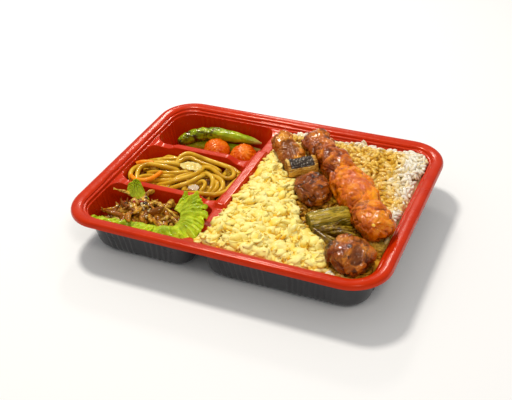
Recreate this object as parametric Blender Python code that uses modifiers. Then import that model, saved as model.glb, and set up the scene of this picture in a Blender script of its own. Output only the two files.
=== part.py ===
"""Four-compartment takeaway tray filled with a grilled-chicken rice meal.

Metres, +Z up.  The tray stands on z = 0 with its centre over the origin, its long side
along X and the large compartment at +X.  Small compartments are stacked along -X.
"""
import math

import bmesh
import bpy
from mathutils import Matrix, Vector, geometry, noise

MM = 0.001
GAP = 0.3 * MM

# Driving dimensions of the tray
TRAY_LENGTH = 270 * MM
TRAY_WIDTH = 207 * MM
RIM_Z = 40 * MM
RIM_CORNER = 31.6 * MM
SHEET = 0.8 * MM
WEB_Z = 34 * MM
RIDGE_Z = 34.8 * MM
SADDLE_Z = 31 * MM
MINOR_LEFT_Z = 32 * MM
MINOR_RIGHT_Z = 29.5 * MM
DRAFT = math.radians(9)
FOOT_RADIUS = 8 * MM
FLOOR_Z = SHEET
CORNER_STEPS = 5

# Rim section from the lip's lower edge inwards: (inset from the outline, height)
RIM_SECTION = [
    (0 * MM, 35.6 * MM),
    (0.2 * MM, 37.8 * MM),
    (1.3 * MM, 39.4 * MM),
    (3.3 * MM, 40 * MM),
    (6 * MM, 39.7 * MM),
    (9.2 * MM, 38.9 * MM),
    (9.9 * MM, 37 * MM),
    (12.3 * MM, 36.6 * MM),
    (13 * MM, WEB_Z),
]

# Pocket mouths at web height: (x0, x1, y0, y1)
MOUTH_X = TRAY_LENGTH / 2 - 13.6 * MM
MOUTH_Y = TRAY_WIDTH / 2 - 13.6 * MM
RIDGE_LEFT = -24 * MM
RIDGE_RIGHT = -16 * MM
RIDGE_FRONT = -36 * MM
RIDGE_BACK = 49 * MM
MINOR_Y = 32.3 * MM
MINOR_HALF = 3 * MM
POCKETS = {
    "back": (-MOUTH_X, RIDGE_LEFT, MINOR_Y + MINOR_HALF, MOUTH_Y),
    "middle": (-MOUTH_X, RIDGE_LEFT, -MINOR_Y + MINOR_HALF, MINOR_Y - MINOR_HALF),
    "front": (-MOUTH_X, RIDGE_LEFT, -MOUTH_Y, -MINOR_Y - MINOR_HALF),
    "main": (RIDGE_RIGHT, MOUTH_X, -MOUTH_Y, MOUTH_Y),
}
OUTER_CORNER = 17.8 * MM
INNER_CORNER = 11 * MM
CORNERS = {
    "back": (INNER_CORNER, INNER_CORNER, OUTER_CORNER, INNER_CORNER),
    "middle": (INNER_CORNER,) * 4,
    "front": (INNER_CORNER, INNER_CORNER, INNER_CORNER, OUTER_CORNER),
    "main": (OUTER_CORNER, OUTER_CORNER, INNER_CORNER, INNER_CORNER),
}
STOPS_X = [-103 * MM, -96 * MM, -70 * MM, -46 * MM, 20 * MM, 52 * MM, 84 * MM]
STOPS_Y = [-66 * MM, -40 * MM, -36 * MM, 0, 49 * MM, 53 * MM]

# Line between the egg and the rice in the large pocket, from the back wall to the front
EGG_LINE = [
    (-14, 110),
    (-12, 62),
    (-4, 44),
    (22, 12),
    (35, -11),
    (54, -44),
    (86, -64),
    (90, -110),
]


def clear_scene():
    """Remove every object so the model starts from nothing."""
    for item in list(bpy.data.objects):
        bpy.data.objects.remove(item, do_unlink=True)


def new_collection(name):
    """Link a collection of that name to the scene."""
    group = bpy.data.collections.new(name)
    bpy.context.scene.collection.children.link(group)
    return group


def material(name, colour, roughness, metallic=0.0):
    """Plain Principled material."""
    item = bpy.data.materials.new(name)
    item.use_nodes = True
    shader = item.node_tree.nodes["Principled BSDF"]
    shader.inputs["Base Color"].default_value = (*colour, 1.0)
    shader.inputs["Roughness"].default_value = roughness
    shader.inputs["Metallic"].default_value = metallic
    return item


def add_object(name, mesh, group, look=None):
    """Link a mesh as an object with its material."""
    item = bpy.data.objects.new(name, mesh)
    group.objects.link(item)
    if look is not None:
        mesh.materials.append(look)
    return item


def mesh_from(bm, name):
    """Turn an edit mesh into a smooth-shaded mesh with outward faces."""
    bmesh.ops.recalc_face_normals(bm, faces=bm.faces)
    mesh = bpy.data.meshes.new(name)
    bm.to_mesh(mesh)
    bm.free()
    mesh.shade_smooth()
    mesh.set_sharp_from_angle(angle=math.radians(50))
    return mesh


def ramp(value, start, end):
    """Smooth step from 0 at start to 1 at end."""
    part = min(1.0, max(0.0, (value - start) / (end - start)))
    return part * part * (3 - 2 * part)


def mix(low, high, part):
    """Blend of two numbers."""
    return low + (high - low) * part


def rounded_outline(box, radii, across=(), up=(), steps=CORNER_STEPS):
    """Counter-clockwise rounded rectangle with extra points at shares of its sides.

    The radii belong to the corners front right, back right, back left and front left.
    """
    x0, x1, y0, y1 = box
    front_right, back_right, back_left, front_left = radii
    corners = [
        (x1 - front_right, y0 + front_right),
        (x1 - back_right, y1 - back_right),
        (x0 + back_left, y1 - back_left),
        (x0 + front_left, y0 + front_left),
    ]
    sides = [
        [(x1, mix(corners[0][1], corners[1][1], share)) for share in up],
        [(mix(corners[2][0], corners[1][0], share), y1) for share in reversed(across)],
        [(x0, mix(corners[3][1], corners[2][1], share)) for share in reversed(up)],
        [(mix(corners[3][0], corners[0][0], share), y0) for share in across],
    ]
    points = []
    for turn, ((cx, cy), radius, side) in enumerate(zip(corners, radii, sides)):
        for step in range(steps + 1):
            angle = math.radians(90 * (turn - 1 + step / steps))
            points.append((cx + radius * math.cos(angle), cy + radius * math.sin(angle)))
        points += side
    return points


def side_shares(low, high, stops):
    """Where the stops lie along a side's straight stretch, as shares of it."""
    start = low + OUTER_CORNER
    length = high - low - OUTER_CORNER - INNER_CORNER
    shares = [(stop - start) / length for stop in sorted(stops)]
    return [share for share in shares if 0.02 < share < 0.98]


def shrink(box, inset):
    """Move every side of a box inwards."""
    x0, x1, y0, y1 = box
    return (x0 + inset, x1 - inset, y0 + inset, y1 - inset)


def divider_height(x, y):
    """Height of the web: raised middles of the dividers, lower where they meet."""
    left_end = mix(MINOR_LEFT_Z, WEB_Z, ramp(x, -103 * MM, -96 * MM))
    minor = mix(left_end, MINOR_RIGHT_Z, ramp(x, -47 * MM, -35 * MM))
    if y > 0:
        beyond = ramp(y, RIDGE_BACK, RIDGE_BACK + 3.5 * MM)
    else:
        beyond = ramp(-y, -RIDGE_FRONT, -RIDGE_FRONT + 3.5 * MM)
    ridge = mix(RIDGE_Z, SADDLE_Z, beyond)
    inner = mix(minor, ridge, ramp(x, RIDGE_LEFT - 5 * MM, RIDGE_LEFT))
    near_wall = max(ramp(abs(y), 78 * MM, 87 * MM), ramp(abs(x), 110 * MM, 118 * MM))
    return mix(inner, WEB_Z, near_wall)


def foot_profile():
    """Inset and height of the pocket wall's rounded foot, from the wall to the floor."""
    foot_z = FLOOR_Z + FOOT_RADIUS * (1 - math.sin(DRAFT))
    wall_inset = (WEB_Z - foot_z) * math.tan(DRAFT)
    rings = []
    for degrees in (math.degrees(DRAFT), 48, 90):
        angle = math.radians(degrees)
        inset = wall_inset + FOOT_RADIUS * (math.cos(DRAFT) - math.cos(angle))
        rings.append((inset, FLOOR_Z + FOOT_RADIUS * (1 - math.sin(angle))))
    return rings


def pocket_ring(pocket, inset):
    """Outline of a pocket at some inset from its mouth."""
    box = POCKETS[pocket]
    across = side_shares(box[0], box[1], STOPS_X)
    up = side_shares(box[2], box[3], STOPS_Y)
    return rounded_outline(shrink(box, inset), CORNERS[pocket], across, up)


def wall_ring(pocket, height_at, gap=0.0):
    """Ring on the drafted wall whose height follows a function of x and y."""
    points = []
    for (ax, ay), (bx, by) in zip(pocket_ring(pocket, gap), pocket_ring(pocket, gap + MM)):
        z = height_at(ax, ay)
        share = (WEB_Z - z) * math.tan(DRAFT) / MM
        points.append((mix(ax, bx, share), mix(ay, by, share), z))
    return points


def bridge(bm, lower, upper):
    """Quads between two closed rings of equal length."""
    count = len(lower)
    for index in range(count):
        after = (index + 1) % count
        bm.faces.new((lower[index], lower[after], upper[after], upper[index]))


def add_ring(bm, points):
    """Vertices of one ring."""
    return [bm.verts.new(point) for point in points]


def inside(point, outline):
    """Even-odd test of a point in an outline."""
    x, y = point
    hit = False
    for index, (ax, ay) in enumerate(outline):
        bx, by = outline[index - 1]
        if (ay > y) != (by > y) and x < ax + (bx - ax) * (y - ay) / (by - ay):
            hit = not hit
    return hit


def web_faces(bm, outer, mouths):
    """Triangulated web between the rim and the four pocket mouths."""
    rings = [outer] + mouths
    verts = [vert for ring in rings for vert in ring]
    extra = []
    for y in (-41, -36, -32.5, -28, -23, 23, 28, 32.5, 37, 41):
        extra.append(Vector((RIDGE_LEFT, y * MM)))
    for x in (-29, -35, -46):
        extra.append(Vector((x * MM, -MINOR_Y)))
        extra.append(Vector((x * MM, MINOR_Y)))
    for point in extra:
        verts.append(bm.verts.new((point.x, point.y, divider_height(point.x, point.y))))
    flat = [Vector((vert.co.x, vert.co.y)) for vert in verts]
    edges = []
    start = 0
    for ring in rings:
        count = len(ring)
        edges += [(start + i, start + (i + 1) % count) for i in range(count)]
        start += count
    result = geometry.delaunay_2d_cdt(flat, edges, [], 0, 1e-7)
    outlines = [[tuple(vert.co.xy) for vert in ring] for ring in rings]
    origin = result[3]
    for face in result[2]:
        corners = [verts[origin[index][0]] for index in face]
        centre = sum((vert.co for vert in corners), Vector()) / len(corners)
        middle = (centre.x, centre.y)
        if not inside(middle, outlines[0]):
            continue
        if any(inside(middle, outline) for outline in outlines[1:]):
            continue
        bm.faces.new(corners)


def make_tray(group, look, under_look):
    """Thermoformed tray as one thin sheet: rim, web, ridge and four pockets."""
    bm = bmesh.new()
    half = (-TRAY_LENGTH / 2, TRAY_LENGTH / 2, -TRAY_WIDTH / 2, TRAY_WIDTH / 2)
    previous = None
    for inset, z in RIM_SECTION:
        outline = rounded_outline(shrink(half, inset), (RIM_CORNER - inset,) * 4)
        ring = add_ring(bm, [(x, y, z) for x, y in outline])
        if previous:
            bridge(bm, previous, ring)
        previous = ring
    mouths = []
    for pocket in POCKETS:
        mouth = add_ring(bm, wall_ring(pocket, divider_height))
        mouths.append(mouth)
        above = mouth
        for inset, z in foot_profile():
            below = add_ring(bm, [(x, y, z) for x, y in pocket_ring(pocket, inset)])
            bridge(bm, above, below)
            above = below
        bm.faces.new(above)
    web_faces(bm, previous, mouths)
    bmesh.ops.recalc_face_normals(bm, faces=bm.faces)
    highest = max(bm.faces, key=lambda face: face.calc_center_median().z)
    if highest.normal.z < 0:
        bmesh.ops.reverse_faces(bm, faces=bm.faces)
    mesh = bpy.data.meshes.new("tray")
    bm.to_mesh(mesh)
    bm.free()
    mesh.shade_smooth()
    mesh.set_sharp_from_angle(angle=math.radians(40))
    tray = add_object("tray", mesh, group, look)
    mesh.materials.append(under_look)
    shell = tray.modifiers.new("Sheet", "SOLIDIFY")
    shell.thickness = SHEET
    shell.offset = -1
    shell.use_even_offset = True
    shell.material_offset = 1
    return tray


def bump(x, y, size, seed):
    """Repeatable noise between -1 and 1 with lumps of the given size."""
    return noise.noise(Vector((x / size + seed, y / size - seed, seed * 1.7)))


def fill_pocket(pocket, edge_height, top_height, shrinks=(0.82, 0.5)):
    """Closed solid that fills a pocket up to an uneven top."""
    bm = bmesh.new()
    rings = []
    for inset, z in reversed(foot_profile()):
        ring = pocket_ring(pocket, inset + GAP)
        rings.append([(x, y, z + GAP) for x, y in ring])
    edge = wall_ring(pocket, edge_height, GAP)
    rings.append(edge)
    middle_x = sum(point[0] for point in edge) / len(edge)
    middle_y = sum(point[1] for point in edge) / len(edge)
    for share in shrinks:
        ring = []
        for x, y, z in edge:
            px = middle_x + (x - middle_x) * share
            py = middle_y + (y - middle_y) * share
            blend = ramp(1 - share, 0.0, 0.3)
            ring.append((px, py, mix(z, top_height(px, py), blend)))
        rings.append(ring)
    loops = [add_ring(bm, points) for points in rings]
    for lower, upper in zip(loops, loops[1:]):
        bridge(bm, lower, upper)
    bm.faces.new(loops[0])
    peak = bm.verts.new((middle_x, middle_y, top_height(middle_x, middle_y)))
    last = loops[-1]
    for index, vert in enumerate(last):
        bm.faces.new((vert, last[(index + 1) % len(last)], peak))
    return bm


def prism(name, outline, low, high, group):
    """Upright prism used as a cutter."""
    bm = bmesh.new()
    face = bm.faces.new([bm.verts.new((x, y, low)) for x, y in outline])
    top = bmesh.ops.extrude_face_region(bm, geom=[face])
    raised = [item for item in top["geom"] if isinstance(item, bmesh.types.BMVert)]
    bmesh.ops.translate(bm, verts=raised, vec=(0, 0, high - low))
    return as_cutter(add_object(name, mesh_from(bm, name), group))


def as_cutter(item):
    """Mark an object as a cutter, seen only as wires."""
    item.hide_render = True
    item.display_type = "WIRE"
    return item


def carve(target, cutters):
    """Subtract each cutter from the target."""
    for cutter in cutters:
        cut = target.modifiers.new("Clear " + cutter.name, "BOOLEAN")
        cut.operation = "DIFFERENCE"
        cut.solver = "EXACT"
        cut.object = cutter


def blob_mesh(name, centre, radii, heading, lumps, seed, grow=0.0):
    """Lumpy ellipsoid: length along the heading, then width, then height."""
    bm = bmesh.new()
    bmesh.ops.create_uvsphere(bm, u_segments=12, v_segments=8, radius=1.0)
    bmesh.ops.rotate(bm, verts=bm.verts, matrix=Matrix.Rotation(math.pi / 2, 3, "Y"))
    turn = Matrix.Rotation(heading, 3, "Z")
    for vert in bm.verts:
        ray = vert.co.normalized()
        swell = 1 + lumps * noise.noise(ray * 1.6 + Vector((seed, -seed, seed)))
        place = Vector([ray[axis] * (radii[axis] * swell + grow) for axis in range(3)])
        vert.co = Vector(centre) + turn @ place
    bmesh.ops.triangulate(bm, faces=bm.faces, quad_method="FIXED")
    return mesh_from(bm, name)


def add_blob(name, spec, groups, look):
    """A lumpy piece and the slightly larger cutter that clears its neighbours."""
    centre, radii, degrees, lumps, seed = spec
    place = [value * MM for value in centre]
    sizes = [value * MM for value in radii]
    heading = math.radians(degrees)
    solid = blob_mesh(name, place, sizes, heading, lumps, seed)
    piece = add_object(name, solid, groups[0], look)
    room = blob_mesh(name + "_room", place, sizes, heading, lumps, seed, 1.4 * GAP)
    return piece, as_cutter(add_object(name + "_room", room, groups[1]))


def log_mesh(name, start, end, radius, grow=0.0):
    """Short round log between two points, its ends slightly rounded."""
    axis = Vector(end) - Vector(start)
    bm = bmesh.new()
    length = axis.length + 2 * grow
    radius += grow
    bmesh.ops.create_cone(
        bm, cap_ends=True, segments=14, radius1=radius, radius2=radius, depth=length
    )
    rims = [edge for edge in bm.edges if abs(edge.verts[0].co.z - edge.verts[1].co.z) < MM]
    bmesh.ops.bevel(bm, geom=rims, offset=1.2 * MM, segments=1, affect="EDGES")
    turn = axis.to_track_quat("Z", "Y").to_matrix().to_4x4()
    middle = (Vector(start) + Vector(end)) / 2
    bmesh.ops.transform(bm, matrix=Matrix.Translation(middle) @ turn, verts=bm.verts)
    return mesh_from(bm, name)


def add_log(name, start, end, radius, groups, look):
    """A round log and its clearance cutter."""
    first = [value * MM for value in start]
    last = [value * MM for value in end]
    solid = log_mesh(name, first, last, radius * MM)
    piece = add_object(name, solid, groups[0], look)
    room = log_mesh(name + "_room", first, last, radius * MM, 1.4 * GAP)
    return piece, as_cutter(add_object(name + "_room", room, groups[1]))


def tube_mesh(name, points, radii, grow=0.0, sides=2):
    """Tapered round tube through the points, as a mesh with welded caps."""
    curve = bpy.data.curves.new(name, "CURVE")
    curve.dimensions = "3D"
    curve.bevel_depth = MM
    curve.bevel_resolution = sides
    curve.use_fill_caps = True
    curve.resolution_u = 4
    curve.render_resolution_u = 0
    spline = curve.splines.new("BEZIER")
    spline.bezier_points.add(len(points) - 1)
    for knot, place, radius in zip(spline.bezier_points, points, radii):
        knot.co = [value * MM for value in place]
        knot.handle_left_type = "AUTO"
        knot.handle_right_type = "AUTO"
        knot.radius = radius + grow / MM
    guide = bpy.data.objects.new(name, curve)
    bpy.context.scene.collection.objects.link(guide)
    ready = guide.evaluated_get(bpy.context.evaluated_depsgraph_get())
    raw = bpy.data.meshes.new_from_object(ready)
    bpy.data.objects.remove(guide)
    bm = bmesh.new()
    bm.from_mesh(raw)
    bmesh.ops.remove_doubles(bm, verts=bm.verts, dist=0.02 * MM)
    bmesh.ops.triangulate(bm, faces=bm.faces, quad_method="FIXED")
    return mesh_from(bm, name)


def add_tube(name, points, radii, groups, look, sides=2):
    """A bent tapered piece and its clearance cutter."""
    piece = add_object(name, tube_mesh(name, points, radii, 0.0, sides), groups[0], look)
    room = tube_mesh(name + "_room", points, radii, 1.4 * GAP, sides)
    return piece, as_cutter(add_object(name + "_room", room, groups[1]))


def leaf_mesh(name, lower, upper, waves, height, rows=3):
    """Frilled leaf between a lower and an upper line, waving more towards the edge."""
    count = len(lower)
    bm = bmesh.new()
    grid = []
    for row in range(rows + 1):
        share = row / rows
        line = []
        for index in range(count):
            low = Vector(lower[index])
            high = Vector(upper[index])
            along = Vector(upper[min(index + 1, count - 1)]) - Vector(upper[max(index - 1, 0)])
            side = (high - low).cross(along).normalized()
            phase = math.sin(math.tau * waves * index / (count - 1))
            place = low.lerp(high, share) + side * height * share * share * phase
            line.append(bm.verts.new(place))
        grid.append(line)
    for near, far in zip(grid, grid[1:]):
        for index in range(count - 1):
            bm.faces.new((near[index], near[index + 1], far[index + 1], far[index]))
    mesh = bpy.data.meshes.new(name)
    bm.to_mesh(mesh)
    bm.free()
    mesh.shade_smooth()
    return mesh


def smooth_line(knots, count):
    """Evenly counted points of a Catmull-Rom line through the knots."""
    points = []
    spans = len(knots) - 1
    for index in range(count):
        place = index * spans / (count - 1)
        span = min(int(place), spans - 1)
        part = place - span
        a, b, c, d = (Vector(knots[min(max(span + step, 0), spans)]) for step in (-1, 0, 1, 2))
        curve = 2 * b + (c - a) * part + (2 * a - 5 * b + 4 * c - d) * part ** 2
        curve += (3 * b - a - 3 * c + d) * part ** 3
        points.append(curve / 2 * MM)
    return points


def place_vegetables(parts, cutters):
    """Two green peppers and two small tomatoes in the back pocket."""
    groups = (parts, cutters)
    pepper_look = material("pepper_green", (0.12, 0.22, 0.02), 0.35)
    tomato_look = material("tomato_red", (0.6, 0.05, 0.01), 0.2)
    left = ((-75, 66.5, 12.9), (12.3, 11.8, 11.6), 20, 0.03, 3)
    right = ((-47.5, 66, 12.7), (12, 11.6, 11.4), -35, 0.05, 8)
    rooms = [
        add_blob("tomato_left", left, groups, tomato_look)[1],
        add_blob("tomato_right", right, groups, tomato_look)[1],
    ]
    back_line = [(-111, 63, 18.5), (-99, 73, 22), (-81, 79, 24), (-57, 80, 23.5), (-37, 81, 21)]
    back, room = add_tube("pepper_back", back_line, (4.2, 5.8, 6.2, 5.2, 1.8), groups, pepper_look)
    carve(back, rooms)
    front_line = [(-109, 70, 10.5), (-90, 77, 10.5), (-62, 78, 11), (-46, 79.5, 12.5), (-37, 80, 13.5)]
    front = add_tube("pepper_front", front_line, (3.6, 5.6, 5, 3.6, 2.6), groups, pepper_look)[0]
    carve(front, rooms + [room])


def noodle_top(x, y):
    """Uneven top of the tangle of thick noodles."""
    across = (x + 73 * MM) / (46 * MM)
    up = y / (28 * MM)
    dome = max(0.0, 1 - across ** 2) * max(0.0, 1 - up ** 2)
    return 27.5 * MM + 3.5 * MM * dome + 1.2 * MM * bump(x, y, 9 * MM, 2)


def noodle_edge(x, y):
    """Height of the tangle where it meets the pocket's wall."""
    return 25 * MM + 2 * MM * bump(x, y, 13 * MM, 5)


def place_noodles(parts, cutters):
    """Noodle tangle with its carrot strips and cabbage on top."""
    groups = (parts, cutters)
    carrot_look = material("carrot_orange", (0.8, 0.16, 0.01), 0.35)
    leaf_look = material("cabbage_pale", (0.7, 0.62, 0.22), 0.4)
    front_line = [(-113, -20, 30), (-109, -24, 30.5), (-101, -25.5, 31), (-94, -20, 31.8), (-90.5, -10, 33)]
    back_line = [(-118, -1, 31), (-113, 2, 31.7), (-106, 3, 32)]
    rooms = [
        add_tube("carrot_front", front_line, (1.5, 2, 2.2, 2.2, 1.7), groups, carrot_look, 1)[1],
        add_tube("carrot_back", back_line, (1.8, 2.1, 1.8), groups, carrot_look, 1)[1],
        add_blob("cabbage_piece", ((-71, 8.5, 32.2), (11, 6.5, 2.6), 15, 0.25, 4), groups, leaf_look)[1],
        add_blob("cabbage_scrap", ((-54, -19, 31), (5, 4, 2), 10, 0.2, 6), groups, leaf_look)[1],
    ]
    bm = fill_pocket("middle", noodle_edge, noodle_top)
    look = material("noodle_brown", (0.45, 0.2, 0.04), 0.3)
    heap = add_object("noodles", mesh_from(bm, "noodles"), parts, look)
    carve(heap, rooms)


def thicken(leaf, thickness):
    """Give a leaf its thickness on both sides of the sheet."""
    shell = leaf.modifiers.new("Thickness", "SOLIDIFY")
    shell.thickness = thickness
    shell.offset = 0
    shell.use_even_offset = False
    return leaf


def fish_outline():
    """Plan of the fried fish heap."""
    knots = [
        (-115, -64, 0), (-104, -77, 0), (-84, -79, 0), (-60, -78.5, 0), (-48, -72, 0),
        (-47, -58, 0), (-54, -47, 0), (-70, -41.5, 0), (-90, -41, 0), (-108, -48, 0),
    ]
    line = smooth_line(knots[-1:] + knots + knots[:1], 49)
    return [point.xy for point in line[4:44]]


def make_fish_heap(group, look):
    """Low mound of fried fish and nuts, steep at its sides and domed on top."""
    bm = bmesh.new()
    outline = fish_outline()
    middle = Vector((-80 * MM, -62 * MM))
    levels = [(0.7, 1.2), (0.88, 5), (0.95, 12), (1.0, 22), (0.96, 27), (0.75, 31.5), (0.42, 33.5)]
    loops = []
    for share, height in levels:
        ring = []
        for point in outline:
            place = middle.lerp(point, share)
            lift = 0.0 if height < 20 else 2.2 * MM * bump(place.x, place.y, 9 * MM, 7)
            ring.append((place.x, place.y, height * MM + lift))
        loops.append(add_ring(bm, ring))
    for lower, upper in zip(loops, loops[1:]):
        bridge(bm, lower, upper)
    bm.faces.new(loops[0])
    peak = bm.verts.new((middle.x, middle.y, 34.5 * MM))
    for index, vert in enumerate(loops[-1]):
        bm.faces.new((vert, loops[-1][(index + 1) % len(outline)], peak))
    return add_object("fish_heap", mesh_from(bm, "fish_heap"), group, look)


def place_fish(parts):
    """Fried small fish in the front pocket, cupped by a frilled lettuce leaf."""
    lettuce_look = material("lettuce_green", (0.3, 0.6, 0.03), 0.4)
    low = [(-112, -79, 17), (-90, -82.5, 16), (-62, -82.5, 16), (-46, -77, 17), (-44, -62, 20), (-48, -51, 25)]
    high = [(-112, -84, 31), (-92, -86.8, 33), (-60, -86.8, 34), (-31, -83, 35), (-26.8, -62, 36), (-42, -39.5, 37)]
    count = 34
    lower = smooth_line(low, count)
    upper = smooth_line(high, count)
    mesh = leaf_mesh("lettuce_leaf", lower, upper, 8, 1.0 * MM)
    thicken(add_object("lettuce_leaf", mesh, parts, lettuce_look), 1.4 * MM)
    lower = smooth_line([(-102, -45, 33.5), (-94, -46, 34.5), (-86, -42, 33)], 7)
    upper = smooth_line([(-98, -40.5, 38), (-94, -39, 41), (-90, -40, 37.5)], 7)
    mesh = leaf_mesh("lettuce_tip", lower, upper, 1.5, 1.2 * MM)
    thicken(add_object("lettuce_tip", mesh, parts, lettuce_look), 1.2 * MM)
    make_fish_heap(parts, material("fish_brown", (0.25, 0.09, 0.03), 0.35))


def egg_top(x, y):
    """Uneven top of the shredded egg, highest in the middle."""
    across = (x - 22 * MM) / (60 * MM)
    up = (y + 20 * MM) / (90 * MM)
    dome = max(0.0, 1 - across ** 2) * max(0.0, 1 - up ** 2)
    return 34.5 * MM + 4.5 * MM * dome + 1.5 * MM * bump(x, y, 11 * MM, 1)


def egg_edge(x, y):
    """Height of the egg against the pocket's wall."""
    return 33.2 * MM + 0.8 * MM * bump(x, y, 12 * MM, 3)


def rice_top(x, y):
    """Uneven top of the rice, banked up towards the far right corner."""
    bank = ramp(x, 60 * MM, 112 * MM) * ramp(y, 20 * MM, 80 * MM)
    return 33.5 * MM + 3 * MM * bank + 1.2 * MM * bump(x, y, 10 * MM, 9)


def rice_edge(x, y):
    """Height of the rice against the pocket's wall."""
    bank = ramp(x, 70 * MM, 112 * MM) * ramp(y, 40 * MM, 80 * MM)
    return 31.5 * MM + 2.3 * MM * bank


def egg_line(shift):
    """Dividing line between egg and rice, moved sideways."""
    return [(x * MM + shift, y * MM) for x, y in EGG_LINE]


def place_chicken(parts, cutters):
    """Two lines of grilled pieces lying across the egg and the rice."""
    groups = (parts, cutters)
    brown = material("chicken_brown", (0.3, 0.07, 0.015), 0.2)
    orange = material("chicken_orange", (0.6, 0.12, 0.01), 0.25)
    leek = material("leek_green", (0.35, 0.32, 0.08), 0.3)
    blobs = [
        ("chicken_1", ((6.5, 44.5, 41.5), (26, 10.5, 9.5), -47, 0.12, 2), brown),
        ("chicken_2", ((46, 0, 39.5), (17.5, 14.5, 10.5), -45, 0.25, 5), brown),
        ("leek_strands", ((81, -50.5, 36.5), (17, 5.5, 4.5), 12, 0.2, 6), leek),
        ("chicken_3", ((101, -68, 37.5), (17.5, 15.5, 11.5), -50, 0.22, 9), brown),
        ("orange_chicken_1", ((29, 62, 42), (16, 12.5, 11), -45, 0.18, 12), orange),
        ("orange_chicken_2", ((52, 36.5, 43), (20, 13.5, 11.5), -45, 0.18, 14), orange),
        ("orange_chicken_3", ((80, 4.5, 44), (24, 15.5, 12), -46, 0.16, 16), orange),
        ("orange_chicken_4", ((104.5, -26.5, 43.5), (20, 15, 12), -50, 0.16, 19), orange),
    ]
    made = {}
    for name, spec, look in blobs:
        made[name] = add_blob(name, spec, groups, look)
    made["leek_1"] = add_log("leek_1", (15.5, 21.5, 41), (34.5, 35.5, 41.5), 9, groups, leek)
    made["leek_2"] = add_log("leek_2", (58, -40.5, 38), (83.5, -22, 38.5), 9, groups, leek)
    whole = ("leek_1", "leek_2", "orange_chicken_2", "orange_chicken_4")
    for name, (piece, room) in made.items():
        if name not in whole:
            carve(piece, [made[other][1] for other in whole])
    carve(made["leek_strands"][0], [made["chicken_3"][1]])
    return [room for piece, room in made.values()]


def place_main(parts, cutters):
    """Rice on the right of the large pocket, shredded egg on the left."""
    rooms = place_chicken(parts, cutters)
    left = [(-60 * MM, 110 * MM)] + [(-60 * MM, -110 * MM)]
    right = [(180 * MM, -110 * MM), (180 * MM, 110 * MM)]
    egg_side = prism("egg_side", left + egg_line(GAP)[::-1], -10 * MM, 90 * MM, cutters)
    rice_side = prism("rice_side", egg_line(-GAP) + right, -10 * MM, 90 * MM, cutters)
    egg_bm = fill_pocket("main", egg_edge, egg_top)
    egg = add_object("egg", mesh_from(egg_bm, "egg"), parts, material("egg_yellow", (0.9, 0.65, 0.16), 0.5))
    carve(egg, [rice_side] + rooms)
    rice_bm = fill_pocket("main", rice_edge, rice_top)
    rice = add_object("rice", mesh_from(rice_bm, "rice"), parts, material("rice_white", (0.75, 0.6, 0.35), 0.5))
    carve(rice, [egg_side] + rooms)


def main():
    """Build the tray and everything in it."""
    clear_scene()
    build_meal(new_collection("bento_box_meal"), new_collection("cutters"))


def build_meal(parts, cutters):
    """All sub-parts, pocket by pocket."""
    make_tray(
        parts,
        material("tray_red", (0.78, 0.03, 0.015), 0.25),
        material("tray_black", (0.03, 0.03, 0.035), 0.4),
    )
    place_vegetables(parts, cutters)
    place_noodles(parts, cutters)
    place_fish(parts)
    place_main(parts, cutters)


main()
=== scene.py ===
# %% [markdown]
# A takeaway tray with four pockets, filled with a grilled-chicken rice meal. The packed
# solids give every place and size: each food is built where its plain solid lies, then
# stands for it. The first cell loads those solids and notes the box they fill.

# %% Load the frame
import math
import random

import bmesh
import bpy
import numpy as np
from mathutils import Matrix, Vector, geometry, noise
from mathutils.bvhtree import BVHTree


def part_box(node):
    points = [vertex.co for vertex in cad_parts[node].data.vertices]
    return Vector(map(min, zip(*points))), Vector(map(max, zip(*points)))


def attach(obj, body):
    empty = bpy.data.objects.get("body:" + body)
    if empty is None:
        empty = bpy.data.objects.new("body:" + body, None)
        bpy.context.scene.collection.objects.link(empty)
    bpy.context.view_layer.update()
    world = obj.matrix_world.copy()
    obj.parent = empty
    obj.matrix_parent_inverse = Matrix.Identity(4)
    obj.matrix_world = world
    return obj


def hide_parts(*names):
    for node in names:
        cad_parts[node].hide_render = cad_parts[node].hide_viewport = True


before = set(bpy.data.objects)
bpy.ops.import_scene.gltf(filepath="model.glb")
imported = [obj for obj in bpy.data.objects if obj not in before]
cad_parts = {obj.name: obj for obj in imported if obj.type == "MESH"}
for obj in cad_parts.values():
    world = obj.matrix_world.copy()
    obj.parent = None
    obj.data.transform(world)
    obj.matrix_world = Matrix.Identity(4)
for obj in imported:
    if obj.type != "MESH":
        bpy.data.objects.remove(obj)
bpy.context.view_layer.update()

MM = 0.001
print("nodes:", sorted(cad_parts))


def deselect():
    """Nothing selected, so the next operator acts only on what it adds."""
    if bpy.context.mode != "OBJECT":
        bpy.ops.object.mode_set(mode="OBJECT")
    bpy.ops.object.select_all(action="DESELECT")


def take(piece):
    """Make one piece the selected and active one."""
    deselect()
    piece.select_set(True)
    bpy.context.view_layer.objects.active = piece
    return piece


def apply_all(piece):
    """Apply the piece's place and its modifiers in order."""
    take(piece)
    bpy.ops.object.transform_apply(location=True, rotation=True, scale=True)
    for modifier in list(piece.modifiers):
        bpy.ops.object.modifier_apply(modifier=modifier.name)
    return piece


def mix(low, high, part):
    """Blend of two numbers."""
    return low + (high - low) * part


def ramp(value, start, end):
    """Smooth step from 0 at start to 1 at end."""
    part = min(1.0, max(0.0, (value - start) / (end - start)))
    return part * part * (3 - 2 * part)


# %% [markdown]
# The stage is a wide pale floor with the camera above the tray's front right, as one looks
# down at a lunch on a table. Three small warm lamps give the crisp glints on the plastic rim
# and the glaze, and a pale sky fills in the shade.

# %% Camera, floor and light
FLOOR_Z = -0.0004
SKY_STRENGTH = 0.42
LAMP_COLOUR = (1.0, 0.955, 0.88)
LAMP_AIM = Vector((0, 0, 0.02))
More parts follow.
